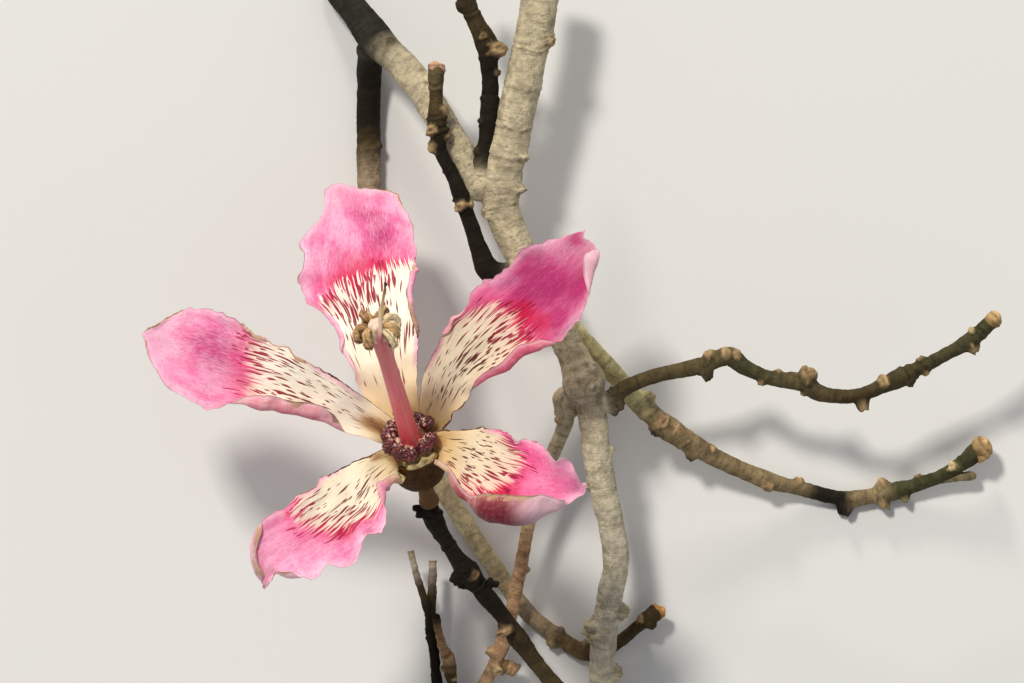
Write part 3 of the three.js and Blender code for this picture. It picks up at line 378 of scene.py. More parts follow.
             {0.15: 0.4, 0.22: 1, 0.36: 0.7, 0.42: 0.2, 0.5: 0.9, 0.56: 0.2, 0.75: 0.1, 0.82: 1, 0.94: 1,
              1: 0.8}),
        tip={-1: 0, -0.3: 0.8, 0.2: 1.2, 1: -0.6},
        stain_and_shade=[(0.2, -0.7, 0.7, 0.03, 0.3), (0.12, -0.2, 1.1, 0.05, 0.7)],
        ink=[(0.42, 0.22, 1.5, 0.06, 0.3), (0.49, 0.02, 0.9, 0.06, 0.25), (0.39, 0.72, 1.4, 0.025, 0.08),
             (0.5, -0.6, 0.7, 0.07, 0.3), (0.36, -0.75, 0.6, 0.06, 0.15)],
        mauve_and_shade=[(0.42, 0.85, 0.9, 0.02, 0.15), (0.3, 0.7, 0.6, 0.03, 0.1)],
        hot=[(0.47, 0.35, 1.1, 0.045, 0.35), (0.52, 0.15, 0.8, 0.04, 0.25), (0.64, -0.8, 0.8, 0.03, 0.2)]),
}


def colour(code):
    """A colour from its screen code, as the linear numbers that shaders use"""
    parts = np.array([int(code[at:at + 2], 16) / 255 for at in (0, 2, 4)])
    return np.where(parts <= 0.04045, parts / 12.92, ((parts + 0.055) / 1.055) ** 2.4)


TONES = {name: colour(code) for name, code in dict(
    sand="b8ac90", clay="b0a488", ash="bdb39e", gold="cdbd94", shade="2b2922", umber="433722",
    coal="1e1811", olive="554b32", fern="403e27", lime="b8ad7e", fawn="94836c", drab="806f52",
    copper="b08c6a", grey="a89b8c", tan="a88e68", pale="c9b084", dark="3b3024", dim="6d5a3f", soot="1d1712",
    moss="9a8c66", rust="a08261", sedge="7d7254", bud_tan="a98b60", bud_pink="bd957a", bud_orange="b5844f",
    anther_gold="a87c4a", anther_tan="cca36c", anther_pale="eed7a6", anther_dark="33200c",
    anther_skin="efd3bd", cream="ead9a8", corona_dark="3a080c", corona_wart="701a20", corona_fuzz_and_glint="e3bfa8",
    column="dd7078",
).items()}


def smooth_steps(low, high, values):
    """Goes smoothly from 0 at the low value to 1 at the high one"""
    share = np.clip((values - low) / (high - low), 0, 1)
    return share * share * (3 - 2 * share)


def bell(away):
    """1 in the middle, and nearly 0 from 2 away"""
    return np.exp(-away ** 2)


def blend(first, second, share):
    """Mixes two sets of colours by a share at each point"""
    return first + (second - first) * share[..., None]


def unit(ways):
    """The same ways with a length of 1"""
    return ways / np.maximum(np.linalg.norm(ways, axis=-1, keepdims=True), 1e-9)


def together(x, y, z):
    """Places or ways from three numbers or arrays that are spread over each other"""
    return np.stack(np.broadcast_arrays(x, y, z), -1)


def level_left(ways):
    """Level ways that point to the left of others, as seen from above"""
    return unit(together(-ways[:, 1], ways[:, 0], 0))


def read_line(line, shares):
    """Reads a line that is given by its values at some shares, with corners there"""
    return np.interp(shares, list(line), list(line.values()))


def softened(values, reach):
    """Averages each value with its neighbours as far as the reach"""
    kernel = np.hanning(2 * reach + 1)
    return np.convolve(np.pad(values, reach, mode="edge"), kernel / kernel.sum(), mode="valid")


def read_softly(line, shares, reach=9):
    """Reads a line with its corners rounded"""
    fine = np.linspace(0, 1, LINE_POINTS)
    return np.interp(shares, fine, softened(read_line(line, fine), reach))


def read_tones(tones, shares):
    """Reads the names of tones at some shares as colours"""
    lines = [{share: TONES[name][k] for share, name in tones.items()} for k in range(3)]
    return np.stack([read_line(line, shares) for line in lines], -1)


def soft_spots(spots, shares, across):
    """Adds up soft spots of (share, across, amount, length, breadth) over a blade"""
    return sum(amount * bell((shares - share) / length) * bell((across - place) / breadth)
               for share, place, amount, length, breadth in spots)


def catmull(points, shares, power=0.25):
    """A Catmull-Rom curve through the points. Power 0.25 makes it centripetal, and 0 makes it uniform."""
    points = np.asarray(points, float)
    padded = np.vstack([2 * points[0] - points[1], points, 2 * points[-1] - points[-2]])
    place = shares * (len(points) - 1)
    index = np.minimum(place.astype(int), len(points) - 2)
    t = (place - index)[:, None]
    p0, p1, p2, p3 = (padded[index + k] for k in range(4))
    gap = [np.maximum(((b - a) ** 2).sum(1, keepdims=True), 1e-12) ** power
           for a, b in ((p0, p1), (p1, p2), (p2, p3))]
    t1 = ((p1 - p0) / gap[0] - (p2 - p0) / (gap[0] + gap[1]) + (p2 - p1) / gap[1]) * gap[1]
    t2 = ((p2 - p1) / gap[1] - (p3 - p1) / (gap[1] + gap[2]) + (p3 - p2) / gap[2]) * gap[1]
    return p1 + t1 * t + (3 * (p2 - p1) - 2 * t1 - t2) * t ** 2 + (2 * (p1 - p2) + t1 + t2) * t ** 3


def number_curve(values, shares):
    """A smooth curve through numbers that are evenly spaced"""
    return catmull(np.asarray(values, float)[:, None], shares, power=0)[:, 0]


def run_along(points):
    """How far along a row of points each one is"""
    return np.concatenate([[0], np.cumsum(np.linalg.norm(np.diff(points, axis=0), axis=1))])


def even_curve(points, count):
    """Places spread evenly along the curve through the points, the ways it runs there, and its length"""
    fine = catmull(points, np.linspace(0, 1, CURVE_POINTS))
    run = run_along(fine)
    at = np.linspace(0, run[-1], count)
    places = np.stack([np.interp(at, run, fine[:, axis]) for axis in range(3)], 1)
    return places, unit(np.gradient(places, axis=0)), run[-1]


def grain(points, size, seed):
    """Smooth noise from -1 to 1 at each point, with lumps of about that size"""
    shifted = points.reshape(-1, 3) / size + (seed * 17.3, seed * 5.9, seed * 11.7)
    return np.array([noise.noise(point) for point in shifted.tolist()]).reshape(points.shape[:-1])


def turns(sides):
    """Angles once round, in radians"""
    return np.linspace(0, 2 * np.pi, sides, endpoint=False)


def ball_ways(rows, sides):
    """Ways out from the middle of a ball, from pole to pole"""
    tilt, turn = np.linspace(0, np.pi, rows)[:, None], turns(sides)
    return together(np.sin(tilt) * np.cos(turn), np.sin(tilt) * np.sin(turn), np.cos(tilt))


def in_flower(radius, degrees, height):
    """Places in the flower, from the distance and angle round its axis and the height along it"""
    angle = np.radians(degrees)
    across = np.multiply.outer(radius * np.cos(angle), FLOWER_ACROSS)
    back = np.multiply.outer(radius * np.sin(angle), FLOWER_BACK)
    return FLOWER_BASE + across + back + np.multiply.outer(height, FLOWER_AXIS)


def add_object(name, data):
    made = bpy.data.objects.new(name, data)
    bpy.context.scene.collection.objects.link(made)
    return made


class Mesh:
    """Gathers grids of points with their materials and values, and makes one piece of them"""

    def __init__(self, **defaults):
        self.defaults = defaults
        self.points, self.values, self.faces, self.slots = [], [], [], []
        self.count = 0

    def add_faces(self, faces, slot):
        self.faces += faces.tolist()
        self.slots += [slot] * len(faces)

    def grid(self, points, slot=0, closed=True, flip=False, **values):
        """Adds rows of points with faces between them, and numbers or colours that lie on them"""
        rows, columns = points.shape[:2]
        row, column = np.indices((rows - 1, columns if closed else columns - 1))
        beside = (column + 1) % columns
        corners = [row * columns + column, row * columns + beside, (row + 1) * columns + beside,
                   (row + 1) * columns + column]
        faces = np.stack([corner.ravel() for corner in corners], 1) + self.count
        self.add_faces(faces[:, ::-1] if flip else faces, slot)
        self.points.append(points.reshape(-1, 3))
        full = {}
        for name, value in ({"place": points} | self.defaults | values).items():
            shape = (rows, columns, 3) if np.ndim(value) in (1, 3) else (rows, columns)
            full[name] = np.broadcast_to(value, shape).reshape(rows * columns, -1)
        self.values.append(full)
        self.count += rows * columns

    def piece(self, name, materials, node):
        mesh = bpy.data.meshes.new(name)
        mesh.from_pydata((np.concatenate(self.points) * MM).tolist(), [], self.faces)
        for value_name in self.values[0]:
            stacked = np.concatenate([values[value_name] for values in self.values])
            kind, field = {1: ("FLOAT", "value"), 3: ("FLOAT_VECTOR", "vector")}[stacked.shape[1]]
            layer = mesh.attributes.new(value_name, kind, "POINT")
            layer.data.foreach_set(field, stacked.astype(np.float32).ravel())
        for material in materials:
            mesh.materials.append(material)
        mesh.polygons.foreach_set("material_index", self.slots)
        mesh.polygons.foreach_set("use_smooth", [True] * len(mesh.polygons))
        mesh.validate()
        mesh.update()
        made = add_object(name, mesh)
        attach(made, "root")
        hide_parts(node)


class Value:
    """A number, place or colour in a shader, which takes part in sums like any other"""

    def __init__(self, shader, socket):
        self.shader = shader
        self.socket = socket

    def math(self, operation, other=0.0):
        kind = "VectorMath" if isinstance(other, tuple) else "Math"
        return self.shader.node(kind, {0: self, 1: other}, operation=operation)

    def __add__(self, other):
        return self.math("ADD", other)

    def __sub__(self, other):
        return self.math("SUBTRACT", other)

    def __mul__(self, other):
        return self.math("MULTIPLY", other)

    def steps(self, low, high, top=1.0, bottom=0.0):
        """Goes smoothly from the bottom, where this is low, to the top, where it is high"""
        ends = {"From Min": low, "From Max": high, "To Min": bottom, "To Max": top}
        return self.shader.node("MapRange", {"Value": self} | ends, interpolation_type="SMOOTHSTEP")

    def noise(self, scale=1.0, detail=3.0, roughness=0.6):
        form = {"Scale": scale, "Detail": detail, "Roughness": roughness}
        return self.shader.node("TexNoise", {"Vector": self} | form)

    def cells(self, scale):
        """The distance to the nearest of many scattered points"""
        return self.shader.node("TexVoronoi", {"Vector": self, "Scale": scale})


class Shader:
    """A material that is made of values"""

    def __init__(self, name, surface):
        self.material = bpy.data.materials.new(name)
        self.material.use_nodes = True
        self.tree = self.material.node_tree
        self.surface = self.tree.nodes["Principled BSDF"].inputs
        for key, value in surface.items():
            self.surface[key].default_value = value

    def feed(self, socket, value):
        """Gives a socket a value, a number, or a colour as numbers or as its code"""
        if isinstance(value, Value):
            self.tree.links.new(value.socket, socket)
        elif isinstance(value, (str, np.ndarray)):
            socket.default_value = (*(colour(value) if isinstance(value, str) else value), 1)
        else:
            socket.default_value = value

    def node(self, kind, inputs, output=0, **settings):
        made = self.tree.nodes.new("ShaderNode" + kind)
        for name, value in settings.items():
            setattr(made, name, value)
        for name, value in inputs.items():
            self.feed(made.inputs[name], value)
        return Value(self, made.outputs[output])

    def read(self, name):
        """A value that lies on the mesh"""
        output = {"place": "Vector", "tone": "Color"}.get(name, "Fac")
        return self.node("Attribute", {}, output, attribute_name=name)

    def joined(self, x, y, z):
        return self.node("CombineXYZ", {"X": x, "Y": y, "Z": z})

    def streaks(self, x, y, seed, detail=3.0, roughness=0.6):
        return self.joined(x, y, seed).noise(1.0, detail, roughness)

    def random(self, x, y, z):
        """Three random numbers for each three whole numbers"""
        drawn = self.node("TexWhiteNoise", {"Vector": self.joined(x, y, z)}, "Color", noise_dimensions="3D")
        return [self.node("SeparateColor", {"Color": drawn}, channel) for channel in range(3)]

    def layers(self, base, *tops):
        """A colour with others laid over it in turn, each of them as (colour, share)"""
        for top, share in tops:
            base = self.node("Mix", {0: share, 6: base, 7: top}, 2, data_type="RGBA")
        return base

    def finish(self, base, height=None, distance=0.0, strength=1.0):
        """Gives the surface its colour and its relief"""
        self.feed(self.surface["Base Color"], base)
        if height:
            relief = {"Height": height, "Distance": distance * MM, "Strength": strength}
            self.feed(self.surface["Normal"], self.node("Bump", relief))
        return self.material


def soft_light(weight, reach):
    """Light that soaks into soft tissue, red the furthest"""
    reaches = (reach * MM, reach * 0.4 * MM, reach * 0.3 * MM)
    return {"Subsurface Weight": weight, "Subsurface Radius": reaches}


PETAL_SURFACE = {"Roughness": 0.6, "Sheen Weight": 0.1, "Sheen Roughness": 0.4,
                 "Specular IOR Level": 0.15} | soft_light(0.08, 1.5)


# In the petals' materials along, edge and blush are in millimetres: from the claw, from the margin, and
# past the start of the pink. Vein runs from -1 at one margin to 1 at the other.


def strokes(shader, vein, along, columns, cell, width, chance, seed):
    """Fine strokes along the veins: 1 on a stroke and 0 beside it. Chance is each stroke's own chance."""
    x = vein * columns + shader.streaks(vein * 1.5, along * 0.05, seed, 1, 0.5) * (columns * 0.14)
    column = x.math("FLOOR")
    y = shader.random(column, seed, 0.5)[0] * 23 + along * (1 / cell)
    luck, length, shift = shader.random(column, y.math("FLOOR"), seed)
    away_x = (x.math("FRACT") - (shift * 0.5 + 0.25)).math("ABSOLUTE")
    away_y = (y.math("FRACT") - 0.5).math("ABSOLUTE")
    end = length * 0.34 + 0.14
    half_width = away_y.steps(end * 0.1, end, 0, 1) * (shift * (width * 0.5) + width * 0.6)
    return (half_width - away_x).steps(-0.04, 0.05) * (chance - luck).steps(0, 0.03)


def teeth(shader, vein, along, columns, seed):
    """Teeth along the veins, as far as each column's own luck at its middle and 0 at its sides"""
    x = vein * columns + shader.streaks(vein * 2, along * 0.08, seed, 2, 0.5) * 1.4
    away = (x.math("FRACT") - 0.5).math("ABSOLUTE")
    return shader.random(x.math("FLOOR"), seed, 0.5)[0] * (away * -2 + 1)


def withered(shader, edge, along, seed, reach):
    """A rim as wide as the dry value says, and its colour: dark brown, and tan towards the tip"""
    patchy = shader.streaks(along * 0.5, edge * 0.5, seed * 0.5)
    flecks = shader.streaks(along * 1.3, edge * 1.6, seed)
    width = shader.read("dry") * patchy.steps(0.3, 0.65, reach, reach * 0.35)
    tanned = patchy + flecks * 0.6 + along.steps(26, 44, 0.35)
    tone = shader.layers("4a2426", ("b48c62", tanned.steps(0.82, 1.16)))
    return (width - edge).steps(0.03, 0.03 + 0.25 * reach), tone


def petal_cream(shader, spec, fibres, hairs, cloud):
    """The cream of the claw and the blade, browned at the claw by stain and painted shade, and warmer
    towards the pink
    """
    pale_rose, _, blade_cream, claw_cream = map(colour, spec["paint"].split()[:4])
    along, blush, edge, stain_and_shade = map(shader.read, ("along", "blush", "edge", "stain_and_shade"))
    # Brown stain at the claw, with painted shade where the claws meet the corona
    brown_and_shade = stain_and_shade * (hairs * 1.6 + cloud * 0.8 - 0.1)
    return shader.layers(
        claw_cream, (blade_cream, along.steps(3, spec.get("claw", 22))),
        ("a5713a", brown_and_shade.steps(0.1, 0.9, 0.85)), ("5c3a1c", brown_and_shade.steps(0.7, 1.4, 0.6)),
        (claw_cream, fibres.steps(0.5, 0.8, 0.35)), ("f6a9b4", blush.steps(-9, 2, 0.3)),
        (pale_rose, edge.steps(2, 0.5) * along.steps(16, 26, 0.7)))


def petal_rose(shader, spec, fibres, hairs, cloud):
    """The pink: paler at the rim and the tip, with mauve patches that are partly painted shade, crimson
    patches, fine hairs and specks
    """
    pale_rose, full_rose, _, _, _, far_ink = map(colour, spec["paint"].split()[:6])
    tip_rose = 0.68 * pale_rose + 0.32
    blush, edge, mauve_and_shade, hot = map(shader.read, ("blush", "edge", "mauve_and_shade", "hot"))
    speckle = shader.read("place").noise(1.1)
    line_ink = shader.layers(far_ink, ("dc2a58", blush.steps(-9, 1)))
    return shader.layers(
        pale_rose, (full_rose, cloud.steps(0.38, 0.62)), (tip_rose, blush.steps(12, 34, 0.55)),
        (tip_rose, edge.steps(3.4, 0.3, 0.6)), ("e63474", (fibres * 12 + blush).steps(17, 5, 0.62)),
        # Mauve: the blade's own deeper colour, and painted shade where folds and curls darken it
        ("b02a66", (mauve_and_shade + hairs * 0.8).steps(0.5, 1.7)),
        ("82204e", hairs.steps(0.53, 0.66) * mauve_and_shade.steps(0.1, 0.7, 0.45)),
        ("bd3c78", speckle.steps(0.46, 0.78, 0.35)), (pale_rose, speckle.steps(0.44, 0.25, 0.2)),
        ("cf3f7e", hairs.steps(0.48, 0.75, 0.5)), (pale_rose, hairs.steps(0.48, 0.25, 0.5)),
        ("c4063c", (hot + hairs * 0.5).steps(0.3, 1.5, 0.9)), (line_ink, blush.steps(1.5, -1.5)))


def with_strokes(shader, spec, base):
    """Lays maroon strokes of four sizes over the cream, the finest of them near the pink"""
    near_ink, far_ink = map(colour, spec["paint"].split()[4:6])
    vein, along, blush, edge, spots = map(shader.read, ("vein", "along", "blush", "edge", "ink"))
    comb, seed = spec["comb"], spec["seed"]
    dense = blush.steps(-54, -6) * blush.steps(8, 0) * edge.steps(0.5, 2.2)
    chance = dense * (spots * 0.48 + 0.24)
    threads = dense * blush.steps(-17 * comb, -4, 0.75) * (spots * 0.6 + 0.5)
    ink = shader.layers(far_ink, (near_ink, blush.steps(-15, -1)))
    kinds = ((8, 13, 0.2, chance * 0.9), (12, 9, 0.28, chance), (17, 6, 0.34, chance * 0.75),
             (16, 17, 0.34, threads))
    for number, (columns, cell, width, own_chance) in enumerate(kinds):
        marks = strokes(shader, vein, along, columns, cell * (0.7 + 0.5 * comb), width, own_chance,
                        seed + 0.7 + 3.4 * number)
        base = shader.layers(base, (ink, marks * 0.94))
    return base


def petal_face_material(name, spec):
    """The petal's upper face: cream with maroon strokes at the claw, crimson and pink outwards"""
    shader = Shader(name + " face", PETAL_SURFACE)
    seed, comb = spec["seed"], spec["comb"]
    vein, along, blush, edge = map(shader.read, ("vein", "along", "blush", "edge"))
    fibres = shader.streaks(vein * 16, along * 0.12, seed)
    hairs = shader.streaks(vein * 36, along * 0.4, seed, 3, 0.65)
    cloud = (shader.read("place") * (1.4, 0.6, 1.0)).noise(0.16, 3, 0.55)
    tips = teeth(shader, vein, along, 13, seed) * 9 + teeth(shader, vein, along, 27, seed + 5) * 6
    softness = 2.4 * (1 - comb)
    pink = ((tips + fibres * 9 - 7.9) * comb + blush).steps(-0.8 - softness, 1 + softness)
    cream = petal_cream(shader, spec, fibres, hairs, cloud)
    rose = petal_rose(shader, spec, fibres, hairs, cloud)
    base = with_strokes(shader, spec, shader.layers(cream, (rose, pink)))
    rim, tone = withered(shader, edge, along, seed, 0.9)
    return shader.finish(shader.layers(base, (tone, rim)), fibres * 0.5 + hairs, 0.3, 0.6)


def petal_back_material(name, spec):
    """The petal's reverse: pink with a pale bloom and fine ribs, painted shade away from the margin, and tan
    where it has dried
    """
    shader = Shader(name + " back", PETAL_SURFACE)
    pale, full, shaded = map(colour, spec["paint"].split()[6:])
    vein, along, blush, edge, place = map(shader.read, ("vein", "along", "blush", "edge", "place"))
    cloud = place.noise(0.2, 4)
    bloom = place.noise(0.9, 4)
    ribs = shader.streaks(vein * 30, along * 0.3, spec["seed"])
    rim, tone = withered(shader, edge, along, spec["seed"], 2.4)
    # The shaded rose deepens away from the margin: painted shade, as on the belly of a rolled lip
    base = shader.layers(
        pale, (full, cloud.steps(0.35, 0.65)), (shaded, (cloud * 4 + edge).steps(3.5, 7.5)),
        ("dfbd92", along.steps(20, 6)), (pale, bloom.steps(0.45, 0.7, 0.2)),
        (shaded, bloom.steps(0.42, 0.28, 0.3)), (shaded, ribs.steps(0.5, 0.75, 0.25)),
        ("ecc6d0", blush.steps(14, 22, 0.7)), ("f3ccd0", edge.steps(1.4, 0.2, 0.45)),
        (shader.layers(tone, ("cdb48c", 0.3)), rim * 0.8))
    return shader.finish(base, ribs * 0.6 + bloom, 0.3, 0.6)


def bark_material(name, roughness, contrast, relief):
    """Bark in its own tones: mottled, speckled and pitted, with small cracks round the limb"""
    shader = Shader(name, {"Roughness": roughness, "Specular IOR Level": 0.12})
    place, tone = shader.read("place"), shader.read("tone")
    clouds = place.noise(0.16, 4, 0.65)
    bands = (place * (0.1, 0.1, 0.55)).noise()
    mottle = (place * (1.0, 1.0, 0.8)).noise(0.45, 5, 0.65)
    grit = place.noise(2, 4, 0.75)
    rings = (place * (0.28, 0.28, 1.7)).noise(1, 4, 0.75)
    dots = (place * (1.0, 1.0, 1.3)).cells(0.75).steps(0.28, 0.16)
    pits = (place * (0.9, 0.9, 0.7)).cells(0.6).steps(0.2, 0.1)
    dark = tone * (0.4, 0.36, 0.3)
    pale = tone * (1.42, 1.4, 1.34)
    base = shader.layers(
        pale, (tone, mottle.steps(0.4, 0.6)), (dark, clouds.steps(0.44, 0.66, contrast * 0.8)),
        (dark, bands.steps(0.5, 0.66, contrast * 0.7)), (pale, bands.steps(0.46, 0.34, 0.5)),
        (dark, grit.steps(0.5, 0.7, contrast * 0.42)), (dark, rings.steps(0.56, 0.68, contrast * 0.8)),
        (pale, dots * 0.55), (dark, pits * (contrast * 0.6)))
    height = grit * 0.6 + mottle * 0.8 - rings * 0.6 + dots * 0.2 - pits * 0.35
    return shader.finish(base, height, relief)


def cut_wood_material():
    """A sawn end: pale wood with faint rings, a dark rim under the bark and a soft pith"""
    shader = Shader("cut wood", {"Roughness": 0.7})
    reach = shader.read("reach")
    rings = shader.streaks(reach * 14, 0, 0, 2, 0.5)
    saw = (shader.read("place") * (0.5, 6.0, 1.0)).noise()
    base = shader.layers(
        "d9c39a", ("c4a878", rings.steps(0.4, 0.65)), ("a98d60", saw.steps(0.45, 0.8, 0.4)),
        ("8b7350", reach.steps(0.82, 0.93)), ("7a5c3c", reach.steps(0.16, 0.09)))
    return shader.finish(base, saw, 0.15)


def tissue_material(name, roughness, grain_size, contrast, coat=0.0):
    """Soft plant tissue in its own tones, with fine grain"""
    surface = {"Roughness": roughness, "Coat Weight": coat, "Coat Roughness": 0.2}
    shader = Shader(name, surface | soft_light(0.1, 1))
    speckle = shader.read("place").noise(1 / grain_size, 4)
    tone = shader.read("tone")
    base = shader.layers(tone, (tone * (0.5, 0.42, 0.36), speckle.steps(0.35, 0.7, contrast)))
    return shader.finish(base, speckle, grain_size * 0.3, 0.6)


class Limb:
    """One limb's course: its places, ways, frames, radii and tones, ring by ring"""

    def __init__(self, name):
        self.spec = LIMB_DEFAULTS | LIMBS[name]
        self.seed = sum(map(ord, name)) % 50
        self.rows = int(even_curve(self.spec["route"], 50)[2] / RING_STEP)
        self.places, self.ways, self.length = even_curve(self.spec["route"], self.rows)
        self.shares = np.linspace(0, 1, self.rows)
        self.run = self.shares * self.length
        self.left = level_left(self.ways)
        self.up = np.cross(self.ways, self.left)
        self.radius = read_line(self.spec["girth"], self.shares)
        self.radius += sum(gain * bell((self.shares - at) * self.length / SWELL_REACH)
                           for at, gain in self.spec["swells"].items())
        self.tone = read_tones(self.spec["tones"], self.shares)
        self.sides = int(np.clip(2 * np.pi * self.radius.mean() / RING_WIDTH, *LIMB_SIDES))
        self.turn = turns(self.sides)

    def nearest(self, x, y):
        """The ring that lies nearest to (x, y), as seen from above"""
        return int(np.argmin(np.hypot(self.places[:, 0] - x, self.places[:, 1] - y)))

    def join(self, parent):
        """Flares the root out over its parent's bark and takes the parent's tone there"""
        some = slice(None, None, JOIN_STEP)
        apart = np.linalg.norm(self.places[:, None] - parent.places[None, some], axis=2)
        clear = (apart - parent.radius[None, some]).min(axis=1)
        near = np.exp(-np.maximum(self.run - self.run[np.argmax(clear > 0)], 0) / COLLAR_REACH)
        flare = np.minimum(COLLAR_FLARE, 0.4 * self.radius) * near
        sunk = smooth_steps(-0.5, -3.5, clear)
        low = self.shares < 0.5
        self.radius = np.where(low, (self.radius + flare) * (1 - 0.4 * sunk), self.radius)
        self.tone = blend(self.tone, parent.tone[parent.nearest(*self.places[0][:2])], near ** 1.5 * low)


def add_nodes(limb, radius, tone, straight):
    """Raises leaf scars and buds out of the bark, each with a ragged rim, a dent and a paler crown"""
    wobble = grain(straight, 1.8, limb.seed + 9) + 0.6 * grain(straight, 0.9, limb.seed + 11)
    fine = grain(straight, 0.7, limb.seed + 10)
    coarse = grain(straight, 1.5, limb.seed + 15)
    for x, y, size, height, *tone_name in limb.spec["nodes"]:
        row = limb.nearest(x, y)
        offset = (np.array([x, y]) - limb.places[row, :2]) @ limb.left[row, :2]
        angle = np.arccos(np.clip(offset / limb.radius[row], -1, 1))
        around = limb.radius[row] * (np.mod(limb.turn - angle + np.pi, 2 * np.pi) - np.pi)
        away = np.hypot((limb.run - limb.run[row])[:, None] * 1.1, around) / size * (1 + 0.4 * wobble)
        blunt = min(max(height / size - 0.5, 0), 0.8)
        rise = 1 - smooth_steps(0.2 + 0.45 * blunt, 1.35 - 0.1 * blunt, away)
        crown = bell((away - 0.5) / 0.22)
        scar = bell(away / 0.3) * (0.6 if size > 1.7 else 0.2)
        knobbly = 1 + 0.42 * fine + blunt * 0.9 * coarse
        radius += height * (rise * knobbly + 0.18 * crown - 0.26 * scar)
        own = TONES[tone_name[0]] if tone_name else tone
        own = own * (1 + 0.25 * crown - 0.35 * scar + 0.4 * fine + 0.5 * np.minimum(coarse, 0))[..., None]
        rim = 0.5 * bell((away - 1) / 0.16) * smooth_steps(-0.3, 0.5, wobble)
        tone[:] = blend(tone, own, 0.78 * (1 - smooth_steps(0.4, 1.2, away))) * (1 - rim)[..., None]


def add_rings(limb, radius, tone, straight):
    """Raises the broken rings that fallen bud scales leave round the limb, with painted shade in the groove
    beside each and a lighter ridge
    """
    sway = grain(straight * (0.5, 0.5, 0), 2, limb.seed + 12) + 0.4 * grain(straight, 1.2, limb.seed + 13)
    broken = smooth_steps(-0.5, 0.3, grain(straight, 3, limb.seed + 14))
    for share, height in limb.spec["rings"].items():
        away = limb.run[:, None] - share * limb.length + 1.1 * sway
        ridge = bell(away / 0.55) * broken
        groove = bell((away - 0.95) / 0.35) * broken
        radius += height * (1.3 * ridge - 0.6 * groove)
        # Painted shade in the groove, and a lighter ridge
        tone *= (1 - 0.4 * groove + 0.2 * ridge)[..., None]


def add_bud(mesh, centre, way, size, tone, seed):
    """A round bud with ringed sides and a paler top"""
    first = unit(np.cross(way, (0.2, 0.3, 0.9)))
    ball = ball_ways(rows=34, sides=40) @ np.stack([first, np.cross(way, first), way])
    height = ball @ way
    lumps = grain(ball, 0.95, seed)
    fine = grain(ball, 0.4, seed + 1)
    reach = 1.28 * size * (1 + 0.22 * lumps + 0.06 * fine + 0.025 * np.cos(height * 12 + 2 * lumps))
    light = (1 + 0.35 * lumps + 0.3 * fine) * (1 - 0.5 * smooth_steps(0.3, -0.6, height))
    light *= (1 + 0.35 * smooth_steps(0.5, 0.9, height)) * (1 - 0.4 * bell((height - 0.42) / 0.12))
    mesh.grid(centre + ball * reach[..., None], flip=True, tone=TONES[tone] * light[..., None])


def tube(mesh, route, radii, rows, sides, tone, flat_way=(0.3, 0.5, 0.8), groove=0.0, lumps=0.0, seed=0):
    """A closed tube with rounded ends along a route"""
    places, ways, _ = even_curve(route, rows)
    shares = np.linspace(0, 1, rows)
    turn = turns(sides)
    first = unit(np.cross(ways, flat_way))
    ring = np.multiply.outer(first, np.cos(turn)) + np.multiply.outer(np.cross(ways, first), np.sin(turn))
    ring = ring.transpose(0, 2, 1)
    ends = np.sqrt(1 - np.abs(2 * shares - 1) ** 7)
    radius = np.outer(number_curve(radii, shares) * ends, 1 - groove * bell((turn - np.pi / 2) / 0.3))
    points = places[:, None] + radius[..., None] * ring
    points = points + ring * (radius * lumps * grain(points, 0.9, seed))[..., None]
    mesh.grid(points, tone=tone)


def add_spur(mesh, limb, x0, y0, x1, y1, size, tone, seed):
    """A short stub that leaves the limb and ends in a blunt lump"""
    height = limb.places[limb.nearest(x0, y0), 2]
    root = np.array([x0, y0, height])
    tip = np.array([x1, y1, height + 0.6])
    rows = 40
    shares = np.linspace(0, 1, rows)[:, None, None]
    dark_rings = bell((np.mod(shares * 3, 1) - 0.5) / 0.12)
    light = (1 - 0.3 * dark_rings) * (1 + 0.25 * smooth_steps(0.7, 1, shares))
    radii = size * np.array([1.15, 1, 0.95, 1.1])
    middle = (root + tip) / 2 + (0.15, 0.2, 0.2)
    tube(mesh, [root, middle, tip], radii, rows, 28, TONES[tone] * light, lumps=0.2, seed=seed)


def add_end(mesh, limb, end, points, straight, tone):
    """Closes one end of a limb, flat where it is sawn and round elsewhere"""
    row = -end
    outward = 2 * end - 1
    is_cut = limb.spec["cut_ends"][end]
    slope = np.linspace(0, np.pi / 2, END_ROWS)[:, None, None]
    reach = np.cos(slope)
    ring = points[row] - limb.places[row]
    height = 0 if is_cut else 0.75 * outward * np.linalg.norm(ring, axis=1).mean()
    bulge = height * np.sin(slope)
    place = straight[row] * (1, 1, 0) * reach + (straight[row] + bulge) * (0, 0, 1)
    mesh.grid(limb.places[row] + reach * ring + bulge * limb.ways[row], int(is_cut), flip=outward < 0,
              tone=tone[row][None], reach=reach[..., 0], place=place)


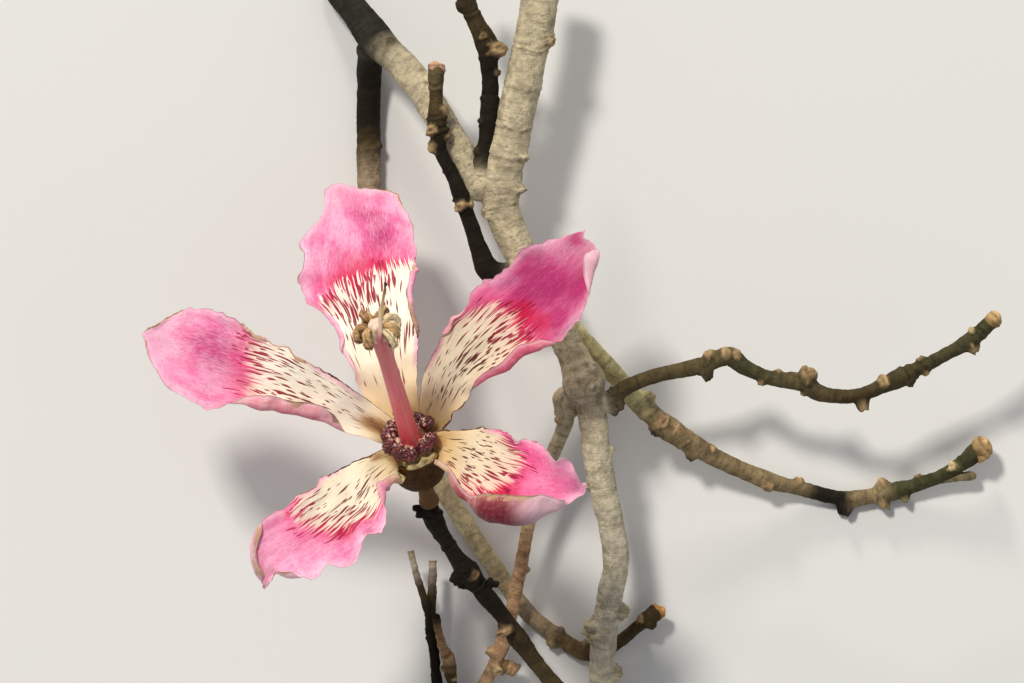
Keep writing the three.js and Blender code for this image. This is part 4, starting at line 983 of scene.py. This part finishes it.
def limb_piece(name, limb, materials):
    """One limb's bark with its swellings, nodes, rings, stubs, bud and ends. The straight places are those
    that its points would have if it ran straight up, so that the grain follows the bark."""
    radius = np.outer(limb.radius, np.ones(limb.sides))
    tone = np.repeat(limb.tone[:, None], limb.sides, axis=1)
    cos, sin = np.cos(limb.turn), np.sin(limb.turn)
    straight = together(radius * cos, radius * sin, limb.run[:, None])
    lumps = grain(straight * (1, 1, 0.7), 4.5, limb.seed)
    texture = 1.5 * grain(straight, 1.9, limb.seed + 1) + grain(straight, 0.7, limb.seed + 2)
    radius *= 1 + 0.08 * lumps
    radius += (0.05 + 0.02 * limb.radius.mean()) * limb.spec["rough"] * texture
    add_rings(limb, radius, tone, straight)
    add_nodes(limb, radius, tone, straight)
    points = (limb.places[:, None] + (radius * cos)[..., None] * limb.left[:, None]
              + (radius * sin)[..., None] * limb.up[:, None])
    mesh = Mesh(reach=1.0)
    mesh.grid(points, tone=tone, place=straight)
    for end in (0, 1):
        add_end(mesh, limb, end, points, straight, tone)
    if "bud" in limb.spec:
        size, bud_tone = limb.spec["bud"]
        add_bud(mesh, limb.places[-1] + 0.1 * size * limb.ways[-1], limb.ways[-1], size, bud_tone, limb.seed)
    for number, spur in enumerate(limb.spec["spurs"]):
        add_spur(mesh, limb, *spur, limb.seed + number)
    mesh.piece(name + "_bark", materials, name)


def claw_freedom(shares):
    """How free the blade is from its stiff claw: 0 at the root and 1 where it has opened"""
    return np.minimum(1, shares * 2.5)


def rolled(distance, reach, bend):
    """A margin's section with a roll of that bend's radius: how far out and how high it is at a distance
    from the spine along the blade"""
    flat = reach - bend
    angle = np.clip((distance - flat) / bend, 0, np.pi)
    beyond = np.maximum(distance - flat - np.pi * bend, 0)
    out = np.minimum(distance, flat) + bend * np.sin(angle) - beyond
    return out, bend * (1 - np.cos(angle)) - 0.1 * beyond


# The ways from a petal's spine to its left and its right margin
SIDE_SIGNS = (1, -1)


def petal_side(spec, index, shares, run, reaches, fullness):
    """One half of a petal's middle surface, with fullness from 0 at the spine to 1 at the margin: how far
    out and how high it is, its distances from the spine and from the margin along the blade, and how dry"""
    seed, sign = spec["seed"], SIDE_SIGNS[index]
    margin = together(run, 9 * sign, 0)
    jag = 0.5 * grain(margin, 2.4, seed) + 0.34 * grain(margin, 0.9, seed + 1)
    curl = np.maximum(read_softly(spec["rolls"][index], shares), 0)
    freedom = claw_freedom(shares) * (1 - 0.8 * smooth_steps(0.3, 2, curl))
    reach = number_curve(reaches, shares) + read_softly(spec["trims"][index], shares, 5)
    reach = np.maximum(reach + jag * freedom, 0.5)
    roll = np.minimum(curl, reach * 0.95)
    bend = np.clip(0.22 * roll + 0.02 * roll ** 2, 0.02, 3)
    total = reach + (np.pi - 1) * bend + np.maximum(roll - bend, 0)
    calm = softened(total, 16)
    distance = np.outer(calm, fullness) + np.outer(total - calm, fullness ** 7)
    out, curled = rolled(distance, reach[:, None], bend[:, None])
    wave = 1.1 * np.sin(shares * 19 + seed + sign) + 0.6 * np.sin(shares * 47 + seed * 2)
    lifted = np.outer(claw_freedom(shares) * spec["lift"][index] + freedom * wave, fullness ** 2.4)
    dry = np.outer(read_line(spec["dry"][index], shares), smooth_steps(0.2, 0.7, fullness))
    return out, curled, lifted, distance, np.outer(total, 1 - fullness), dry


def petal_sheet(spec):
    """The petal's middle surface, row by row from the claw to the tip, and its values at every point"""
    root = in_flower(PETAL_ROOT_RADIUS, spec["azimuth"], PETAL_ROOT_HEIGHT)
    stations = np.array([(*root, PETAL_ROOT_REACH, PETAL_ROOT_REACH), *spec["stations"]])
    shares = np.linspace(0, 1, PETAL_ROWS)
    across = np.linspace(-1, 1, PETAL_COLUMNS + 1)
    spine = catmull(stations[:, :3], shares)
    run = run_along(spine)
    ways = unit(np.gradient(spine, axis=0))
    left = level_left(ways)
    up = np.cross(ways, left)
    sheet = np.zeros((PETAL_ROWS, PETAL_COLUMNS + 1, 3))
    edge, dry, signed = np.zeros((3, PETAL_ROWS, PETAL_COLUMNS + 1))
    for index, sign in enumerate(SIDE_SIGNS):
        half = (across < 0) == (sign < 0)
        out, curled, lifted, distance, edge[:, half], dry[:, half] = petal_side(
            spec, index, shares, run, stations[:, 3 + index], np.abs(across[half]))
        sheet[:, half] = (spine[:, None] + sign * out[..., None] * left[:, None]
                          + curled[..., None] * up[:, None] + lifted[..., None] * (0, 0, 1))
        signed[:, half] = sign * distance
    tip = {(place + 1) / 2: reach for place, reach in spec["tip"].items()}
    stand_out = read_softly(tip, (across + 1) / 2, 12)
    crimp = 0.35 * grain(together(across * 11, 0, 0), 1.3, spec["seed"] + 4)
    sheet += np.outer(smooth_steps(0.86, 1, shares), stand_out + crimp)[..., None] * ways[:, None]
    blush_at = np.interp(across, np.linspace(-1, 1, 5), spec["blush"][::-1])
    values = {name: soft_spots(spec[name], shares[:, None], across)
              for name in ("ink", "mauve_and_shade", "hot", "stain_and_shade")}
    values |= dict(vein=across[None], along=run[:, None], dry=dry,
                   blush=(shares[:, None] - blush_at) * run[-1],
                   edge=np.minimum(edge, (run[-1] - run)[:, None] + 0.02),
                   place=together(signed, run[:, None], spec["seed"] * 13))
    return sheet, values


def petal_piece(name):
    """One petal: a thin blade with nicked, waved and rolled margins and two different faces"""
    spec = PETALS[name]
    seed = spec["seed"]
    sheet, values = petal_sheet(spec)
    normal = unit(np.cross(np.gradient(sheet, axis=0), np.gradient(sheet, axis=1)))
    relief = grain(sheet, 8, seed) * 0.8 + grain(sheet, 0.8, seed + 2) * 0.05
    relief += grain(sheet, 4, seed + 1) * (0.14 + 0.3 * np.abs(values["vein"]) ** 3)
    relief += grain(values["place"] * (1, 0.12, 1), 1.5, seed + 3) * 0.14
    relief *= claw_freedom(np.linspace(0, 1, PETAL_ROWS))[:, None]
    sheet = sheet + normal * relief[..., None]
    half_thick = normal * (PETAL_THICKNESS * (0.15 + 0.35 * smooth_steps(0, 1.4, values["edge"])))[..., None]
    mesh = Mesh()
    mesh.grid(sheet + half_thick, 0, closed=False, flip=True, **values)
    mesh.grid(sheet - half_thick, 1, closed=False, **values)
    count = relief.size
    numbers = np.arange(count).reshape(relief.shape)
    rim = np.concatenate([numbers[:, 0], numbers[-1, 1:], numbers[-2::-1, -1], numbers[0, -2:0:-1]])
    beside = np.roll(rim, -1)
    mesh.add_faces(np.stack([beside, beside + count, rim + count, rim], 1), 1)
    materials = [petal_face_material(name, spec), petal_back_material(name, spec)]
    mesh.piece(name + "_blade", materials, name)


def lathe(profile, rows, sides, swell):
    """A turned form on the flower's axis from (radius, height) pairs, which swell changes at each turn:
    points, radii, heights and turns"""
    section = catmull(profile, np.linspace(0, 1, rows))
    turn = np.linspace(0, 360, sides, endpoint=False)
    radius, height = swell(np.maximum(section[:, :1], 0) + 0 * turn, section[:, 1:] + 0 * turn, turn)
    return in_flower(radius, turn, height), radius, height, turn


def waves(degrees, count):
    """Goes from 1 to -1 and back so many times in a turn"""
    return np.cos(np.radians(degrees * count))


def column_piece():
    """The rose column with its ribbed foot"""
    foot, tip = COLUMN_RADIUS
    profile = [(0, -0.6), (foot * 0.9, -0.5), (foot * 1.3, 1), (foot * 1.05, 5), ((foot + tip) / 2, 22),
               (tip, 40), (tip * 0.96, COLUMN_LENGTH - 0.6), (tip * 0.7, COLUMN_LENGTH), (0, COLUMN_LENGTH)]

    def ribs(radius, height, turn):
        ribbed = 0.09 * waves(turn, 10) * bell((height - 1.5) / 4) + 0.018 * waves(turn + 4, 5)
        return radius * (1 + ribbed), height

    points, radius, height, turn = lathe(profile, rows=160, sides=72, swell=ribs)
    mesh = Mesh()
    mesh.grid(points, flip=True, high=height,
              place=together(radius * waves(turn, 1), radius * waves(turn - 90, 1), height))
    shader = Shader("column skin", {"Roughness": 0.42} | soft_light(0.12, 1.5))
    high, place = shader.read("high"), shader.read("place")
    streaks = (place * (1.0, 1.0, 0.05)).noise()
    base = shader.layers(
        "de4c54", ("e2717a", high.steps(4, 30)), ("da7a78", high.steps(30, 52)),
        ("f0a09c", streaks.steps(0.4, 0.75, 0.3)), ("bf4653", place.noise(0.25).steps(0.5, 0.75, 0.3)),
        ("f0ab94", high.steps(4.5, 0.5, 0.8)))
    skin = shader.finish(base, streaks, 0.2, 0.5)
    mesh.piece("staminal_column_skin", [skin], "staminal_column")


def anther_tone(skin, seed, rows, sides):
    """Tones over an anther: its skin on the faces, thin dark sides that are painted shade, and a broken dark
    slit
    """
    shares = np.linspace(0, 1, rows)[:, None]
    across = np.cos(turns(sides))
    patch = grain(together(shares * 14, across, np.sin(turns(sides))), 1.6, seed)
    slit = bell((across - 0.12 * patch) / 0.13) * smooth_steps(-0.35, 0.1, patch)
    # The dark sides are painted shade; the slit and the patches are the anther's own
    dark = 0.85 * smooth_steps(0.86, 1, np.abs(across)) + 0.85 * slit + 0.35 * smooth_steps(0.2, 0.6, patch)
    body = blend(TONES[skin], TONES["anther_gold"], 0.7 * smooth_steps(0.28, 0.5, np.abs(shares - 0.5)))
    return blend(body * (1 + 0.35 * patch[..., None]), TONES["anther_dark"], np.minimum(dark, 1))


def anther_piece():
    """Thin curled anthers round the pale hub at the head of the column, open on the side of the viewer"""
    mesh = Mesh()
    rows, sides = 46, 36
    for number, skin in enumerate("pale tan pale pale tan gold tan gold tan gold tan".split()):
        azimuth = ANTHER_START + ANTHER_STEP * number
        lean = 14 * math.sin(number * 3.3)
        size = 1 + 0.12 * math.cos(number * 1.7)
        top = COLUMN_LENGTH + 0.8 * math.sin(number * 2.1)
        bends = [(2.6, 0, 3.6), (3.6, 2, 5.4), (5, 5, 4.9), (5.8, 8, 2.8), (5.6, 8, 0.8), (4.4, 4, -0.6)]
        route = [in_flower(radius * size, azimuth + turn * lean / 6, top + height)
                 for radius, turn, height in bends]
        tube(mesh, route, [0.5, 1, 1.3, 1.38, 1.2, 0.55], rows, sides,
             anther_tone("anther_" + skin, number, rows, sides), FLOWER_AXIS, groove=0.25, lumps=0.3,
             seed=number)
    hub = [(0, -0.8), (2.3, -0.6), (3, 1.5), (2.9, 4), (2.1, 6), (0, 6.8)]

    def folded(radius, height, turn):
        return radius * (1 + 0.04 * waves(turn + 3.3 * np.sin(height), 6)), height + COLUMN_LENGTH

    points, _, _, turn = lathe(hub, rows=34, sides=70, swell=folded)
    # Six darker bands round the hub: painted shade in its folds
    tone = TONES["anther_skin"] * (0.9 + 0.1 * waves(turn, 6))[None, :, None]
    tone = blend(tone, TONES["anther_tan"], smooth_steps(0.1, 0.6, grain(points, 1.4, 3)))
    mesh.grid(points, flip=True, tone=tone)
    mesh.piece("anther_head_beans", [tissue_material("anther", 0.45, 0.5, 0.35)], "anther_head")


def style_piece():
    """The style: a rosy stripe where it leans on the hub, pale and thin above, with a round dark stigma"""
    bends = [(0.2, 2.4, -1.4), (-0.3, 3.3, 1), (0.2, 3.5, 4), (1, 2.6, 6.8), (2.1, 1.2, 10.6),
             (4, 0.2, 15.6), (6, -0.8, 20.8)]
    route = [in_flower(0, 0, COLUMN_LENGTH + height) + across * FLOWER_ACROSS - front * FLOWER_BACK
             for across, front, height in bends]
    tones = {0.22: "column", 0.34: "anther_skin", 0.55: "cream", 0.8: "anther_tan", 1: "dark"}
    rows = 90
    mesh = Mesh()
    tube(mesh, route, [0.7, 0.75, 0.68, 0.58, 0.5, 0.42, 0.38], rows, sides=18,
         tone=read_tones(tones, np.linspace(0, 1, rows))[:, None])
    tip = route[-1]
    tube(mesh, [tip - 0.7 * FLOWER_AXIS, tip, tip + 0.8 * FLOWER_AXIS], [0.42, 0.52, 0.4], rows=18,
         sides=18, tone=TONES["dark"], lumps=0.15)
    mesh.piece("style_thread", [tissue_material("style", 0.5, 0.4, 0.3)], "style")


def staminode_piece(number, azimuth, material):
    """A bilobed warty knob of the corona: maroon, partly painted shade in its hollows, with pale fuzz and
    painted glints
    """
    mesh = Mesh()
    ball = ball_ways(rows=60, sides=90)
    for lobe, (turn, rise) in enumerate([(-CORONA_LOBE_TURN, 0.5), (CORONA_LOBE_TURN, -0.3)]):
        centre = in_flower(CORONA_RADIUS, azimuth + turn, CORONA_HEIGHT + rise)
        seed = number + 10 * lobe
        shifted = (ball * 1.9 + (number * 3.1, lobe * 7.7, 1)).reshape(-1, 3)
        cells = np.array([noise.voronoi(point)[0][0] for point in shifted.tolist()]).reshape(ball.shape[:2])
        bumps = 1 - smooth_steps(0.05, 0.8, cells)
        furrows = np.abs(grain(ball, 0.45, seed))
        lumps = grain(ball, 0.9, seed + 5)
        swelling = 0.85 + 0.09 * bumps + 0.36 * furrows + 0.14 * lumps
        inward = (ball @ (in_flower(0, 0, CORONA_HEIGHT + 3) - centre)) / CORONA_RADIUS
        # Pale fuzz and painted glints, mostly on the warts that face the column
        fuzz = grain(ball, 0.3, number + 20) + 0.6 * inward + 0.5 * lumps
        fuzz_and_glint = 0.9 * smooth_steps(0.45, 0.9, fuzz) * smooth_steps(0.2, 0.6, bumps + furrows)
        # Redder on the raised warts, darkest in the hollows: the knob's own colour, and partly painted shade
        skin = blend(TONES["corona_dark"], TONES["corona_wart"], np.clip(0.25 * bumps + 1.9 * furrows, 0, 1))
        mesh.grid(centre + ball * (CORONA_LOBE_RADIUS * swelling)[..., None], flip=True,
                  tone=blend(skin, TONES["corona_fuzz_and_glint"], fuzz_and_glint))
    foot = [(2.9, 2.2), (4.6, 3.8), (CORONA_RADIUS, CORONA_HEIGHT)]
    tube(mesh, [in_flower(radius, azimuth, height) for radius, height in foot], [1.9, 1.6, 1.2], rows=30,
         sides=26, tone=TONES["corona_fuzz_and_glint"] * 0.85, lumps=0.35, seed=number)
    mesh.piece(f"staminode_{number}_warts", [material], f"staminode_{number}")


def calyx_piece():
    """The leathery cup with its folded lobe, and the short stalk that it stands on"""
    rim = -0.9
    end = -CALYX_DEPTH - PEDICEL_LENGTH
    inner = CALYX_RADIUS - CALYX_WALL
    profile = [(0, end), (PEDICEL_RADIUS * 1.15, end), (PEDICEL_RADIUS, end + 3),
               (PEDICEL_RADIUS, -CALYX_DEPTH - 1), (CALYX_RADIUS * 0.6, -CALYX_DEPTH + 0.4),
               (CALYX_RADIUS * 0.87, -CALYX_DEPTH + 2.8), (CALYX_RADIUS, -CALYX_DEPTH + 6.5),
               (CALYX_RADIUS * 1.01, rim - 4), (CALYX_RADIUS, rim - 0.3), (inner + CALYX_WALL / 2, rim),
               (inner, rim - 0.3), (inner - 0.8, -1.4), (3.6, -0.9), (0, -0.8)]

    def from_lobe(turn):
        return (turn - CALYX_LOBE_AZIMUTH + 180) % 360 - 180

    def lobed(radius, height, turn):
        near_rim = smooth_steps(-6.5, rim, height) * (radius > 5.5)
        on_lobe = np.exp(-(from_lobe(turn) / CALYX_LOBE_WIDTH) ** 4)
        lobe = CALYX_LOBE * on_lobe + 0.6 * waves(turn - 18, 5) + 0.4 * waves(turn - 7, 13)
        fold = on_lobe * (0.2 - 0.35 * waves(from_lobe(turn), 5))
        return radius + near_rim * fold, height + near_rim * lobe

    rows, sides = 150, 110
    points, radius, height, turn = lathe(profile, rows, sides, lobed)
    inside = (np.arange(rows)[:, None] > rows * 0.78) * (radius < inner)
    lobe = np.exp(-(from_lobe(turn) / (CALYX_LOBE_WIDTH + 4)) ** 4) * smooth_steps(-0.6, 1, height)
    lobe = np.maximum(lobe, 0.95 * inside)
    lumps = (grain(points, 2.2, 5) * 0.13 + grain(points, 0.8, 6) * 0.05) * (1 - 0.7 * lobe)
    points = points + unit(points - in_flower(0, 0, -CALYX_DEPTH / 2)) * lumps[..., None]
    mesh = Mesh()
    mesh.grid(points, flip=True, high=height, lobe=lobe)
    shader = Shader("calyx skin", {"Roughness": 0.6, "Specular IOR Level": 0.1})
    cloud = shader.read("place").noise(0.5, 4)
    ribs = shader.read("place").noise(2.2)
    # The fold's cream and olive are painted lit and shaded tones, mixed in soft clouds; the cup's dark brown
    # is partly painted shade of its underside
    fold = shader.layers("d8c48e", ("8f7c42", cloud.steps(0.4, 0.65)))
    base = shader.layers(
        "4c2c04", ("2e1800", cloud.steps(0.35, 0.7)), ("6d4d30", shader.read("high").steps(-14, -17.5)),
        ("5e3f18", ribs.steps(0.45, 0.75, 0.3)), (fold, shader.read("lobe").steps(0.35, 0.75)))
    mesh.piece("calyx_cup", [shader.finish(base, ribs, 0.2, 0.6)], "calyx")


def make_branch():
    cut_wood = cut_wood_material()
    barks = {slot: bark_material(slot.replace("_", " "), *numbers) for slot, numbers in BARKS.items()}
    limbs = {name: Limb(name) for name in LIMBS}
    for limb in limbs.values():
        if limb.spec["on"]:
            limb.join(limbs[limb.spec["on"]])
    for name, limb in limbs.items():
        limb_piece(name, limb, [barks[limb.spec["slot"]], cut_wood])


def make_flower():
    for name in PETALS:
        petal_piece(name)
    column_piece()
    anther_piece()
    style_piece()
    corona = tissue_material("corona", 0.42, 0.6, 0.4, coat=0.35)
    for number, azimuth in enumerate(STAMINODE_AZIMUTHS, 1):
        staminode_piece(number, azimuth, corona)
    calyx_piece()


def make_floor():
    """A plain pale floor, far wider than any view"""
    mesh = bpy.data.meshes.new("floor")
    corners = [(x * FLOOR_REACH, y * FLOOR_REACH, 0) for x, y in ((-1, -1), (1, -1), (1, 1), (-1, 1))]
    mesh.from_pydata(corners, [], [(0, 1, 2, 3)])
    shader = Shader("floor paint", {"Roughness": 0.9})
    soft = shader.node("TexCoord", {}, "Object").noise(3, 3, 0.5)
    mesh.materials.append(shader.finish(shader.layers("d9d8d4", ("dfdeda", soft))))
    floor = add_object("floor", mesh)


def make_lights():
    for name, (place, size, power, tint) in LIGHTS.items():
        data = bpy.data.lights.new(name, "AREA")
        data.size = size
        data.energy = power
        data.color = tint
        lamp = add_object(name, data)
        lamp.location = place
        aim = Vector(LIGHTS_AIM) - Vector(place)
        lamp.rotation_euler = aim.to_track_quat("-Z", "Y").to_euler()


def make_sky():
    world = bpy.data.worlds.new("studio")
    world.use_nodes = True
    sky = world.node_tree.nodes["Background"].inputs
    sky["Color"].default_value = (*SKY_TINT, 1)
    sky["Strength"].default_value = SKY_STRENGTH
    bpy.context.scene.world = world
    bpy.context.scene.view_settings.view_transform = "Standard"


def make_camera():
    data = bpy.data.cameras.new("camera")
    data.sensor_width = SENSOR
    data.lens = SENSOR * (CAMERA_HEIGHT - FLOWER_HEIGHT) / PICTURE_WIDTH
    data.clip_end = VIEW_REACH
    camera = add_object("camera", data)
    camera.location = (PICTURE_MIDDLE[0] * MM, PICTURE_MIDDLE[1] * MM, CAMERA_HEIGHT * MM)
    bpy.context.scene.camera = camera


make_camera()
make_floor()
make_lights()
make_sky()
make_branch()
make_flower()
